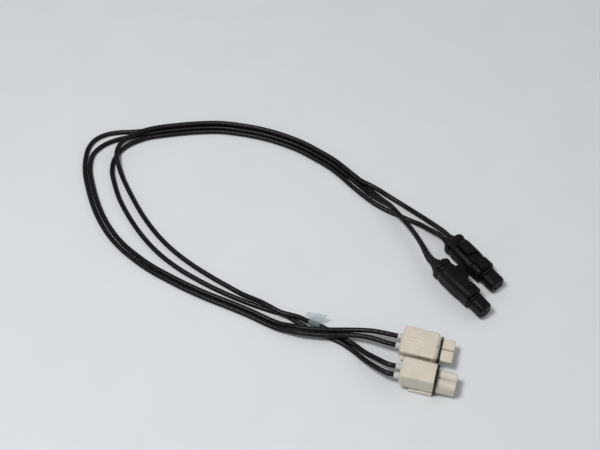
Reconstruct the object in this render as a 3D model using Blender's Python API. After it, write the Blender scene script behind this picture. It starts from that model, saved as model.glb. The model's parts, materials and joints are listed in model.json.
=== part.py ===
"""Two-lead connector cable set: two white two-pole plugs, two black latching plugs, four wires and a flag.

Each plug is drawn along its own axis, in millimetres: along it from its rear face, across it, and height.
Two empties per lead then stand the plugs where they lie on the table.
"""

import math

import bmesh
import bpy
from mathutils import Vector

MM = 0.001

# Fits, and how far a cut runs out past the face that it opens
GAP = 0.3
CUT_PAST = 1.0
ROUND_STEPS = 16
CONTACT_STEPS = 12
LEAST_FLAT = 0.01

# Wires
WIRE_DIAMETER = 2.4
WIRE_POINT_SPACING = 5.6
WIRE_BEVEL_RESOLUTION = 2
WIRE_CURVE_STEPS = 16
WIRE_STRAIGHT_OUT = 3.0
WIRE_LANE = WIRE_DIAMETER + GAP
WIRE_LAYER = WIRE_LANE * math.sin(math.radians(60))

# White plugs, sizes shared by both
LATCH_ARM_HEIGHT = 2.6
LATCH_SWING_SPACE = 0.9
LATCH_ROOT_LENGTH = 2.6
LATCH_TAIL_LENGTH = 0.6
LATCH_TAIL_BEVEL = 0.5
GRIP_PROUD = 0.1
GRIP_REAR_BEVEL = 1.0
GRIP_GROOVE_WIDTH = 0.5
GRIP_GROOVE_DEPTH = 0.25
GRIP_GROOVE_PITCH = 1.9
GRIP_GROOVE_START = 1.4
GRIP_GROOVE_STOP = 0.6
HOUSING_CORNER = 1.1
NOSE_TIP_BEVEL = 0.4
NOSE_END_WALL = 1.2
FRONT_SEAL_THICKNESS = 0.8
WIRE_SEAL_RADIUS = 1.65
WIRE_SEAL_END_RADIUS = 1.45
WIRE_SEAL_BORE = 1.0
WIRE_SEAL_DEPTH = 4.4
WIRE_SEAL_FRONT_BEVEL = 0.4
WIRE_SEAL_SHOULDER = 0.5
TERMINAL_BOX = 1.9
TERMINAL_TAIL_RADIUS = 0.65
TERMINAL_TAIL_START = 0.4
TERMINAL_CRIMP_START = 0.6
TERMINAL_CRIMP_END = 4.0
TERMINAL_CRIMP_STEP = 0.2
TERMINAL_SHOULDER = 0.6
TERMINAL_FRONT_SPACE = 0.5
CONTACT_HOLE_RADIUS = 0.95

# Wide white plug
WIDE_WIDTH = 14.2
WIDE_BODY_LENGTH = 16.0
WIDE_BODY_HEIGHT = 7.9
WIDE_GRIP_LENGTH = 9.0
WIDE_GROOVE_COUNT = 5
WIDE_COLLAR_WIDTH = 12.0
WIDE_FRONT_SEAL_WIDTH = 13.0
WIDE_FRONT_SEAL_BELOW = 1.0
WIDE_FRONT_SEAL_ABOVE = 0.5
WIDE_FRONT_SEAL_CORNER = 1.0
WIDE_SEAL_HOLE_CORNER = 0.8
WIDE_COLLAR_LENGTH = 1.5
WIDE_COLLAR_RISE = 0.4
WIDE_NOSE_ROOT_WIDTH = 10.8
WIDE_NOSE_ROOT_STEP = 0.2
WIDE_NOSE_ROOT_CORNER = 0.6
WIDE_NOSE_WIDTH = 12.0
WIDE_NOSE_CORNER = 0.7
WIDE_NOSE_DROP = 2.0
WIDE_NOSE_LENGTH = 5.5
WIDE_NOSE_HEIGHT = 3.6
WIDE_NOSE_UNDERCUT = 1.2
WIDE_UNDERCUT_OVERLAP = 0.2
WIDE_COLLAR_DROP = 1.3
WIDE_SIDE_RECESS = 1.5
WIDE_RECESS_FRONT = 1.0
WIDE_TOP_PLATE = 1.0
WIDE_SLOT_WIDTH = 0.7
WIDE_SLOT_DEPTH = 2.6
WIDE_SLOT_SETBACK = 0.4
WIDE_POLE_PITCH = 4.8
WIDE_POLE_HEIGHT = 7.1
WIDE_SEAL_REACH = 1.7
WIDE_LATCH_REAR = 4.6
WIDE_LATCH_INSET = 0.7

# Slim white plug
SLIM_WIDTH = 10.4
SLIM_BODY_LENGTH = 15.6
SLIM_BODY_HEIGHT = 9.7
SLIM_GRIP_LENGTH = 8.0
SLIM_GROOVE_COUNT = 3
SLIM_FRONT_BEVEL = 0.3
SLIM_NOSE_SIDE_STEP = 0.6
SLIM_NOSE_TOP_DROP = 2.5
SLIM_NOSE_LENGTH = 8.2
SLIM_NOSE_RISE = 0.1
SLIM_NOSE_CORNER = 0.5
SLIM_NOSE_OVERLAP = 2.0
SLIM_FRONT_SEAL_BELOW = 2.0
SLIM_FRONT_SEAL_DROP = 0.3
SLIM_SEAL_HOLE_CORNER = 0.4
SLIM_POLE_PITCH = 4.4
SLIM_POLE_HEIGHT = 7.0
SLIM_SEAL_REACH = 2.4
SLIM_LATCH_REAR = 4.8
SLIM_LATCH_PROUD = 0.4

# Black plugs, both alike
CAP_WIDTH = 11.0
CAP_TOP = 4.3
CAP_BOTTOM = 4.7
CAP_LENGTH = 3.2
CAP_REAR_INSET = 1.0
CAP_REAR_BEVEL = 1.2
CAP_FRONT_INSET = 0.3
CAP_FRONT_BEVEL = 0.4
SHELL_CORNER = 3.0
SHELL_REAR_CORNER = 2.4
SHELL_FRONT_CORNER = 2.6
SHELL_SLOPE = 1.0
SHELL_CORNER_STEPS = 5
NECK_INSET = 0.25
NECK_LENGTH = 1.2
WAIST_WIDTH = 11.0
WAIST_TOP = 4.4
WAIST_DIP = 0.8
WAIST_LENGTH = 12.6
WAIST_LEVEL_SHARE = 0.7
COLLAR_WIDTH = 10.8
COLLAR_TOP = 4.7
COLLAR_BOTTOM = 4.2
COLLAR_LENGTH = 6.7
COLLAR_FRONT_BEVEL = 0.7
COLLAR_FRONT_INSET = 0.5
COLLAR_FRONT_RISE = 0.4
NOSE_WIDTH = 8.2
NOSE_THICKNESS = 7.2
NOSE_LENGTH = 8.5
NOSE_CORNER = 2.6
NOSE_ROUND_START = 1.2
NOSE_ROUND_END = 0.5
NOSE_ROUND_INSET = 0.25
NOSE_ROUND_CORNER = 2.4
NOSE_TIP_INSET = 0.8
NOSE_TIP_CORNER = 1.9
NOSE_ROOT_LENGTH = 1.4
NOSE_ROOT_WIDTH = 6.2
NOSE_ROOT_THICKNESS = 5.4
NOSE_ROOT_CORNER = 2.0
NOSE_SEAL_THICKNESS = 0.8
NOSE_SEAL_LENGTH = 0.8
GROMMET_FRONT_WIDTH = 7.8
GROMMET_FRONT_THICKNESS = 5.8
GROMMET_REAR_WIDTH = 5.6
GROMMET_REAR_THICKNESS = 3.6
GROMMET_LENGTH = 2.7
GROMMET_FRONT_CORNER = 2.4
GROMMET_REAR_CORNER = 1.6
GROMMET_REAR_STRAIGHT = 0.5
BLACK_POLE_PITCH = 3.0
BLACK_POLE_DROP = 0.8
LEVER_WIDTH = 4.4
LEVER_CHANNEL_FLOOR = 3.0
LEVER_THICKNESS = 0.9
LEVER_SWING_SPACE = 0.9
LEVER_FULCRUM_ALONG = 13.0
LEVER_REAR_ALONG = 5.8
LEVER_PAD_LENGTH = 7.8
LEVER_PAD_HEIGHT = 2.9
LEVER_BLOCK_LENGTH = 5.6
LEVER_BLOCK_HEIGHT = 2.1
LEVER_BEVEL = 0.8
LEVER_STEP_SLOPE = 0.4
LEVER_HEEL_REAR = 0.6
LEVER_HEEL_FRONT = 0.3
CONTACT_RADIUS = 1.05
CONTACT_PIN_RADIUS = 0.6
CONTACT_TAIL_RADIUS = 0.6
CONTACT_TAIL_SETBACK = 1.0
CONTACT_BARREL_MARGIN = 1.0
CONTACT_TIP_START = 2.0
CONTACT_TIP_SETBACK = 1.4
CONTACT_TIP_STEP = 0.3

# Where the rear face of each plug stands on the table, and which way its nose points
WIDE_PLACE = (-23.26, -17.81)
WIDE_YAW = -15.0
SLIM_PLACE = (-24.26, -33.21)
SLIM_YAW = -14.6
EDGE_PLACE = (-2.5, 24.95)
EDGE_YAW = -52.6
EDGE_ROLL = -90.0
FLAT_PLACE = (4.8, 39.8)
FLAT_YAW = -52.5

# Wire routes over the table: x and y of the wire, then how far its underside is above the table
LOOP_RUN = (
    (-39.7, 78.0), (-46.4, 85.1), (-52.5, 91.2), (-60.2, 97.1), (-68.2, 102.6), (-78.9, 108.0),
    (-89.8, 112.0), (-100.7, 114.6), (-111.7, 116.2), (-122.7, 116.0), (-133.4, 114.9), (-144.2, 113.2),
)
OUTER_RUN = (
    (-179.1, 85.8), (-176.8, 76.8), (-173.5, 66.8), (-169.4, 57.3), (-163.7, 47.6), (-157.7, 40.1),
    (-150.2, 33.0), (-142.2, 26.7), (-132.2, 20.4), (-122.2, 14.7), (-112.2, 9.7), (-102.6, 5.4),
    (-93.2, 0.9), (-84.7, -3.7),
)
LOWER_EDGE_WIRE_START = (
    (-10.4, 39.6, 2.8), (-13.8, 46.7, 2.8), (-17.2, 52.4, 2.8), (-20.6, 57.7, 2.8), (-24.2, 63.1, 2.2),
    (-27.6, 67.4, 0.8), (-31.5, 72.0, 0.1),
)
LOWER_EDGE_WIRE_TURN = (
    (-151.2, 114.4, 0.0), (-158.2, 113.4, 0.0), (-165.2, 113.0, 0.0), (-172.2, 111.4, 0.0),
    (-177.5, 107.8, 0.0), (-180.4, 102.3, 0.0), (-181.2, 93.8, 0.0),
)
LOWER_EDGE_WIRE_END = (
    (-79.3, -8.0, 0.6), (-74.6, -9.8, 1.9), (-69.8, -11.4, 2.8), (-61.8, -12.6, 3.2),
    (-55.5, -13.1, 3.5), (-48.7, -13.2, 3.8), (-42.0, -14.1, 4.6), (-36.7, -15.8, 5.5),
)
UPPER_EDGE_WIRE_START = (
    (-10.6, 37.7, 5.4), (-14.1, 44.8, 5.4), (-17.5, 50.4, 5.4), (-21.0, 55.6, 5.3), (-24.6, 61.0, 4.6),
    (-28.6, 65.5, 3.1), (-33.2, 70.0, 1.5),
)
UPPER_EDGE_WIRE_TURN = (
    (-151.2, 111.8, 0.0), (-159.2, 109.8, 0.0), (-165.6, 108.0, 0.0), (-170.9, 105.4, 0.0),
    (-175.2, 101.6, 0.0), (-177.7, 97.4, 0.0), (-178.3, 92.8, 0.0),
)
UPPER_EDGE_WIRE_END = (
    (-78.5, -5.3, 0.6), (-73.6, -7.1, 1.9), (-68.9, -8.7, 2.8), (-61.4, -9.8, 3.2), (-55.2, -10.3, 3.5),
    (-48.4, -10.5, 3.8), (-41.6, -11.1, 4.6), (-35.4, -12.1, 5.4),
)
FAR_FLAT_WIRE_START = (
    (-4.6, 52.4, 2.1), (-14.0, 61.5, 0.6), (-20.7, 67.2, 0.3), (-25.7, 70.6, 1.1), (-29.8, 73.0, 2.2),
    (-34.2, 75.6, 2.8),
)
FAR_FLAT_WIRE_END = (
    (-150.7, 112.4, 2.7), (-156.5, 109.4, 2.8), (-161.2, 105.7, 2.8), (-164.0, 101.2, 2.9),
    (-164.8, 96.4, 2.8), (-163.9, 91.4, 1.8), (-162.2, 86.3, 0.6), (-160.2, 81.3, 0.0),
    (-155.2, 70.8, 0.0), (-148.2, 58.0, 0.0), (-140.2, 46.4, 0.0), (-131.7, 36.9, 0.0),
    (-121.4, 28.0, 0.0), (-110.4, 20.1, 0.0), (-103.2, 15.4, 0.0), (-97.4, 11.6, 0.2),
    (-92.2, 8.4, 1.3), (-87.2, 5.2, 2.5), (-82.7, 2.2, 2.9), (-78.8, -0.2, 2.9), (-74.7, -1.6, 2.9),
    (-70.2, -2.8, 2.6), (-66.2, -4.3, 1.7), (-60.2, -6.7, 1.1), (-55.2, -9.2, 0.4), (-48.6, -13.2, 0.0),
    (-44.0, -16.7, 0.4), (-40.2, -20.8, 1.8), (-36.3, -24.5, 3.8),
)
NEAR_FLAT_WIRE_START = (
    (-5.0, 47.8, 2.0), (-9.6, 51.8, 1.0), (-13.6, 54.5, 0.2), (-19.1, 57.7, 0.0), (-25.2, 61.0, 0.0),
    (-31.5, 65.4, 0.0), (-36.8, 70.4, 0.0), (-42.8, 76.8, 0.0),
)
NEAR_FLAT_WIRE_END = (
    (-149.2, 109.4, 0.0), (-154.2, 107.4, 0.0), (-159.0, 104.6, 0.0), (-162.8, 101.0, 0.0),
    (-165.4, 96.6, 0.0), (-166.6, 92.0, 0.0), (-166.5, 85.8, 0.0), (-165.2, 80.6, 0.0),
    (-161.3, 69.2, 0.0), (-154.8, 56.6, 0.0), (-146.5, 44.2, 0.0), (-138.1, 34.6, 0.0),
    (-128.6, 26.4, 0.0), (-117.5, 18.9, 0.0), (-105.2, 11.9, 0.0), (-98.0, 8.4, 0.0), (-92.2, 5.8, 0.0),
    (-87.2, 3.8, 0.0), (-82.7, 2.1, 0.0), (-78.8, 0.8, 0.0), (-75.2, -0.9, 0.0), (-72.2, -3.0, 0.0),
    (-69.2, -5.2, 0.0), (-65.7, -7.5, 0.0), (-60.2, -10.5, 0.0), (-53.2, -13.5, 0.0),
    (-48.6, -16.4, 0.0), (-44.3, -20.2, 0.4), (-41.2, -24.0, 1.8), (-37.7, -28.2, 4.0),
)

# Marker flag, folded round a wire with its two halves stuck together
FLAG_LENGTH = 5.4
FLAG_THICKNESS = 0.4
FLAG_RISE = 35.0
# Corners of its fin: how far behind and ahead of the sleeve's middle, then how far out from the wire
FLAG_REAR_BASE = 5.6
FLAG_FRONT_BASE = 2.9
FLAG_REAR_TIP = 4.6
FLAG_FRONT_TIP = 4.8
FLAG_REAR_REACH = 4.0
FLAG_FRONT_REACH = 6.1
FLAG_SPOT = (-62.2, -5.9)


def clear_scene():
    """Takes every object out, so that the file starts empty."""
    for item in list(bpy.data.objects):
        bpy.data.objects.remove(item, do_unlink=True)


def material(name, colour, roughness, metallic=0.0, transmission=0.0):
    """One plain surface."""
    made = bpy.data.materials.new(name)
    made.use_nodes = True
    shader = made.node_tree.nodes["Principled BSDF"]
    shader.inputs["Base Color"].default_value = (*colour, 1.0)
    shader.inputs["Roughness"].default_value = roughness
    shader.inputs["Metallic"].default_value = metallic
    shader.inputs["Transmission Weight"].default_value = transmission
    return made


def rounded_outline(width, bottom, top, corner, steps=4):
    """Rectangle with rounded corners, as (across, height) pairs, anticlockwise seen from the nose."""
    corner = min(corner, width / 2 - LEAST_FLAT, (top - bottom) / 2 - LEAST_FLAT)
    centres = (
        (width / 2 - corner, top - corner, 0),
        (corner - width / 2, top - corner, 90),
        (corner - width / 2, bottom + corner, 180),
        (width / 2 - corner, bottom + corner, 270),
    )
    points = []
    for across, height, first in centres:
        for step in range(steps + 1):
            angle = math.radians(first + 90 * step / steps)
            points.append((across + corner * math.cos(angle), height + corner * math.sin(angle)))
    return points


def lobed_outline(radius, bottom, top, corner, steps=8):
    """Two round-topped lobes side by side over a shared flat base."""
    valley = 165
    points = []
    for side, first, last in ((1, 0, valley), (-1, 180 - valley, 180)):
        for step in range(steps + 1):
            angle = math.radians(first + (last - first) * step / steps)
            points.append((side * radius + radius * math.cos(angle), top - radius + radius * math.sin(angle)))
    edge = 2 * radius
    for across, first in ((corner - edge, 180), (edge - corner, 270)):
        for step in range(4):
            angle = math.radians(first + 90 * step / 3)
            points.append((across + corner * math.cos(angle), bottom + corner + corner * math.sin(angle)))
    return points


def circle_outline(radius, across=0.0, height=0.0, steps=ROUND_STEPS):
    """Round outline about a point."""
    points = []
    for step in range(steps):
        angle = math.tau * (step + 0.5) / steps
        points.append((across + radius * math.cos(angle), height + radius * math.sin(angle)))
    return points


def finish_mesh(name, work, smooth=False):
    """Turns the drawn faces into a closed object with its faces looking outwards."""
    bmesh.ops.recalc_face_normals(work, faces=work.faces)
    mesh = bpy.data.meshes.new(name)
    work.to_mesh(mesh)
    work.free()
    for polygon in mesh.polygons:
        polygon.use_smooth = smooth
    made = bpy.data.objects.new(name, mesh)
    bpy.context.collection.objects.link(made)
    return made


def loft(name, sections):
    """Solid through a row of outlines, each given with its place along the plug."""
    work = bmesh.new()
    rings = []
    for along, outline in sections:
        rings.append([work.verts.new((along * MM, across * MM, height * MM)) for across, height in outline])
    count = len(rings[0])
    for near, far in zip(rings, rings[1:]):
        for index in range(count):
            following = (index + 1) % count
            work.faces.new((near[index], near[following], far[following], far[index]))
    work.faces.new(rings[0][::-1])
    work.faces.new(rings[-1])
    return finish_mesh(name, work)


def turned(name, profile, across=0.0, height=0.0, steps=ROUND_STEPS):
    """Ring turned from a closed (along, radius) profile about an axis along the plug."""
    work = bmesh.new()
    rings = []
    for along, radius in profile:
        outline = circle_outline(radius, across, height, steps)
        rings.append([work.verts.new((along * MM, side * MM, up * MM)) for side, up in outline])
    for near, far in zip(rings, rings[1:] + rings[:1]):
        for index in range(steps):
            following = (index + 1) % steps
            work.faces.new((near[index], near[following], far[following], far[index]))
    return finish_mesh(name, work)


def bar(name, profile, width, across=0.0):
    """Flat-sided bar: an (along, height) profile drawn out to a width."""
    work = bmesh.new()
    sides = []
    for side in (across - width / 2, across + width / 2):
        sides.append([work.verts.new((along * MM, side * MM, height * MM)) for along, height in profile])
    count = len(profile)
    for index in range(count):
        following = (index + 1) % count
        work.faces.new((sides[0][index], sides[0][following], sides[1][following], sides[1][index]))
    work.faces.new(sides[0][::-1])
    work.faces.new(sides[1])
    return finish_mesh(name, work)


def block(name, first, last, width, bottom, top, across=0.0):
    """Plain box between two places along the plug."""
    return bar(name, ((first, bottom), (last, bottom), (last, top), (first, top)), width, across)


def rod(name, first, last, radius, across=0.0, height=0.0):
    """Plain round bar along the plug."""
    outline = circle_outline(radius, across, height)
    return loft(name, ((first, outline), (last, outline)))


def work_solid(piece, tools, operation):
    """Joins the tools to a piece, or cuts them out of it, and takes the tools away."""
    for tool in tools:
        change = piece.modifiers.new(operation, "BOOLEAN")
        change.object = tool
        change.operation = operation
        change.solver = "EXACT"
    graph = bpy.context.evaluated_depsgraph_get()
    solid = bpy.data.meshes.new_from_object(piece.evaluated_get(graph))
    piece.modifiers.clear()
    piece.data = solid
    solid.name = piece.name
    for tool in tools:
        bpy.data.objects.remove(tool, do_unlink=True)
    return piece


def put(piece, holder, surface, pivot=(0.0, 0.0, 0.0)):
    """Gives a piece its surface and its place in the plug, with its own origin on the pivot."""
    origin = Vector(pivot) * MM
    for vertex in piece.data.vertices:
        vertex.co -= origin
    piece.location = origin
    piece.parent = holder
    piece.data.materials.clear()
    piece.data.materials.append(surface)


def holder_at(name, place, height, yaw, roll=0.0):
    """Empty that stands a plug on the table."""
    made = bpy.data.objects.new(name, None)
    bpy.context.collection.objects.link(made)
    made.location = (place[0] * MM, place[1] * MM, height * MM)
    made.rotation_mode = "XYZ"
    made.rotation_euler = (math.radians(roll), 0.0, math.radians(yaw))
    return made


def pole_places(pitch):
    """Side and across offset of the two poles."""
    return (("left", pitch / 2), ("right", -pitch / 2))


def grip_grooves(count, length, top):
    """Finger grooves along the rear top of a white housing."""
    tools = []
    bottom = top - GRIP_GROOVE_DEPTH
    last = length - GRIP_GROOVE_STOP
    for index in range(count):
        across = (index - (count - 1) / 2) * GRIP_GROOVE_PITCH
        groove = block("groove", GRIP_GROOVE_START, last, GRIP_GROOVE_WIDTH, bottom, top + CUT_PAST, across)
        tools.append(groove)
    return tools


def pole_cavities(pitch, height, nose_end):
    """Hollows that run through a white housing: wire seal bore, terminal cavity, contact hole."""
    tools = []
    cavity = TERMINAL_BOX + 2 * GAP
    low = height - cavity / 2
    square_end = nose_end - NOSE_END_WALL
    hole_start = square_end - TERMINAL_FRONT_SPACE
    for _, across in pole_places(pitch):
        bore = circle_outline(WIRE_SEAL_RADIUS + GAP, across, height)
        tools.append(loft("bore", ((-CUT_PAST, bore), (WIRE_SEAL_DEPTH + GAP, bore))))
        tools.append(block("cavity", WIRE_SEAL_DEPTH, square_end, cavity, low, low + cavity, across))
        tools.append(rod("hole", hole_start, nose_end + CUT_PAST, CONTACT_HOLE_RADIUS, across, height))
    return tools


def white_fittings(lead, holder, pitch, height, nose_end, seal_reach, surfaces):
    """Wire seals and terminals of a white plug."""
    crimp_start = WIRE_SEAL_DEPTH + TERMINAL_CRIMP_START
    crimp_end = WIRE_SEAL_DEPTH + TERMINAL_CRIMP_END
    terminal_end = nose_end - NOSE_END_WALL - TERMINAL_FRONT_SPACE
    for side, across in pole_places(pitch):
        seal = turned(
            f"{lead}_white_wire_seal_{side}",
            (
                (WIRE_SEAL_DEPTH, WIRE_SEAL_BORE),
                (WIRE_SEAL_DEPTH, WIRE_SEAL_RADIUS - WIRE_SEAL_FRONT_BEVEL / 2),
                (WIRE_SEAL_DEPTH - WIRE_SEAL_FRONT_BEVEL, WIRE_SEAL_RADIUS),
                (-WIRE_SEAL_SHOULDER, WIRE_SEAL_RADIUS),
                (-seal_reach, WIRE_SEAL_END_RADIUS),
                (-seal_reach, WIRE_SEAL_BORE),
            ),
            across,
            height,
        )
        put(seal, holder, surfaces["silicone"])
        tail = circle_outline(TERMINAL_TAIL_RADIUS, across, height, CONTACT_STEPS)
        crimp = circle_outline(TERMINAL_BOX / 2 - TERMINAL_CRIMP_STEP, across, height, CONTACT_STEPS)
        front = circle_outline(TERMINAL_BOX / 2, across, height, CONTACT_STEPS)
        terminal = loft(
            f"{lead}_white_terminal_{side}",
            (
                (TERMINAL_TAIL_START, tail),
                (crimp_start, tail),
                (crimp_start, crimp),
                (crimp_end, crimp),
                (crimp_end + TERMINAL_SHOULDER, front),
                (terminal_end, front),
            ),
        )
        put(terminal, holder, surfaces["brass"])


def white_latch(lead, holder, width, length, rear, surface):
    """Sprung arm under a white housing: solid root in front, free rear end with room to swing up."""
    rear_top = LATCH_ARM_HEIGHT - (LATCH_SWING_SPACE - GAP)
    tail = rear + LATCH_TAIL_LENGTH
    profile = (
        (rear, LATCH_TAIL_BEVEL),
        (tail, 0.0),
        (length, 0.0),
        (length, LATCH_ARM_HEIGHT),
        (length - LATCH_ROOT_LENGTH, LATCH_ARM_HEIGHT),
        (tail, rear_top),
        (rear, rear_top - LATCH_TAIL_BEVEL),
    )
    latch = bar(f"{lead}_white_latch", profile, width)
    pivot = (length - LATCH_ROOT_LENGTH / 2, 0.0, LATCH_ARM_HEIGHT)
    put(latch, holder, surface, pivot)


def wide_white_plug(lead, holder, surfaces):
    """Wide white plug: ribbed grip, chamfered collar, sealed nose with two flat-topped silos."""
    bottom = LATCH_ARM_HEIGHT + GAP
    top = bottom + WIDE_BODY_HEIGHT
    grip_width = WIDE_WIDTH + 2 * GRIP_PROUD
    collar_end = WIDE_BODY_LENGTH + WIDE_COLLAR_LENGTH
    root_end = collar_end + FRONT_SEAL_THICKNESS + 2 * GAP
    nose_end = root_end + WIDE_NOSE_LENGTH
    nose_top = top - WIDE_NOSE_DROP
    nose_bottom = nose_top - WIDE_NOSE_HEIGHT
    collar_bottom = bottom + WIDE_COLLAR_RISE
    root_bottom = nose_bottom + WIDE_NOSE_ROOT_STEP
    root_top = nose_top - WIDE_NOSE_ROOT_STEP

    grip = rounded_outline(grip_width, bottom, top + GRIP_PROUD, HOUSING_CORNER)
    rear_width = grip_width - 2 * GRIP_REAR_BEVEL
    rear_top = top + GRIP_PROUD - GRIP_REAR_BEVEL
    grip_rear = rounded_outline(rear_width, bottom + GRIP_REAR_BEVEL, rear_top, HOUSING_CORNER)
    body = rounded_outline(WIDE_WIDTH, bottom, top, HOUSING_CORNER)
    collar = rounded_outline(WIDE_COLLAR_WIDTH, collar_bottom, top - WIDE_COLLAR_DROP, HOUSING_CORNER)
    root = rounded_outline(WIDE_NOSE_ROOT_WIDTH, root_bottom, root_top, WIDE_NOSE_ROOT_CORNER)
    nose = rounded_outline(WIDE_NOSE_WIDTH, nose_bottom, nose_top, WIDE_NOSE_CORNER)
    tip_width = WIDE_NOSE_WIDTH - 2 * NOSE_TIP_BEVEL
    tip_bottom = nose_bottom + NOSE_TIP_BEVEL
    nose_tip = rounded_outline(tip_width, tip_bottom, nose_top - NOSE_TIP_BEVEL, WIDE_NOSE_CORNER)
    housing = loft(
        f"{lead}_white_housing",
        (
            (0.0, grip_rear),
            (GRIP_REAR_BEVEL, grip),
            (WIDE_GRIP_LENGTH, grip),
            (WIDE_GRIP_LENGTH + GRIP_PROUD, body),
            (WIDE_BODY_LENGTH, body),
            (collar_end, collar),
            (collar_end, root),
            (root_end, root),
            (root_end, nose),
            (nose_end - NOSE_TIP_BEVEL, nose),
            (nose_end, nose_tip),
        ),
    )
    tools = grip_grooves(WIDE_GROOVE_COUNT, WIDE_GRIP_LENGTH, top + GRIP_PROUD)
    tools += pole_cavities(WIDE_POLE_PITCH, WIDE_POLE_HEIGHT, nose_end)
    cut_end = nose_end + CUT_PAST
    slot_start = WIDE_BODY_LENGTH + WIDE_SLOT_SETBACK
    slot_bottom = nose_top - WIDE_SLOT_DEPTH
    tools.append(block("slot", slot_start, cut_end, WIDE_SLOT_WIDTH, slot_bottom, top + CUT_PAST))
    recess_width = 2 * WIDE_SIDE_RECESS
    recess_bottom = bottom + WIDE_TOP_PLATE
    recess_top = top - WIDE_TOP_PLATE
    recess_end = WIDE_BODY_LENGTH - WIDE_RECESS_FRONT
    under_start = root_end - WIDE_UNDERCUT_OVERLAP
    under_width = 2 * WIDE_NOSE_UNDERCUT
    under_bottom = nose_bottom - CUT_PAST
    under_top = nose_top - WIDE_TOP_PLATE
    for side in (1, -1):
        edge = side * grip_width / 2
        tools.append(block("recess", -CUT_PAST, recess_end, recess_width, recess_bottom, recess_top, edge))
        edge = side * WIDE_NOSE_WIDTH / 2
        tools.append(block("undercut", under_start, cut_end, under_width, under_bottom, under_top, edge))
    work_solid(housing, tools, "DIFFERENCE")
    put(housing, holder, surfaces["cream"])

    hole_width = WIDE_NOSE_ROOT_WIDTH + 2 * GAP
    seal_hole = rounded_outline(hole_width, root_bottom - GAP, root_top + GAP, WIDE_SEAL_HOLE_CORNER)
    rim_bottom = nose_bottom - WIDE_FRONT_SEAL_BELOW
    rim_top = nose_top + WIDE_FRONT_SEAL_ABOVE
    seal_rim = rounded_outline(WIDE_FRONT_SEAL_WIDTH, rim_bottom, rim_top, WIDE_FRONT_SEAL_CORNER)
    seal_start = collar_end + GAP
    seal_end = seal_start + FRONT_SEAL_THICKNESS
    seal = loft(f"{lead}_white_front_seal", ((seal_start, seal_rim), (seal_end, seal_rim)))
    hole = loft("hole", ((seal_start - CUT_PAST, seal_hole), (seal_end + CUT_PAST, seal_hole)))
    work_solid(seal, [hole], "DIFFERENCE")
    put(seal, holder, surfaces["black_rubber"])

    latch_width = WIDE_WIDTH - 2 * WIDE_LATCH_INSET
    white_latch(lead, holder, latch_width, WIDE_BODY_LENGTH, WIDE_LATCH_REAR, surfaces["cream"])
    white_fittings(lead, holder, WIDE_POLE_PITCH, WIDE_POLE_HEIGHT, nose_end, WIDE_SEAL_REACH, surfaces)


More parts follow.
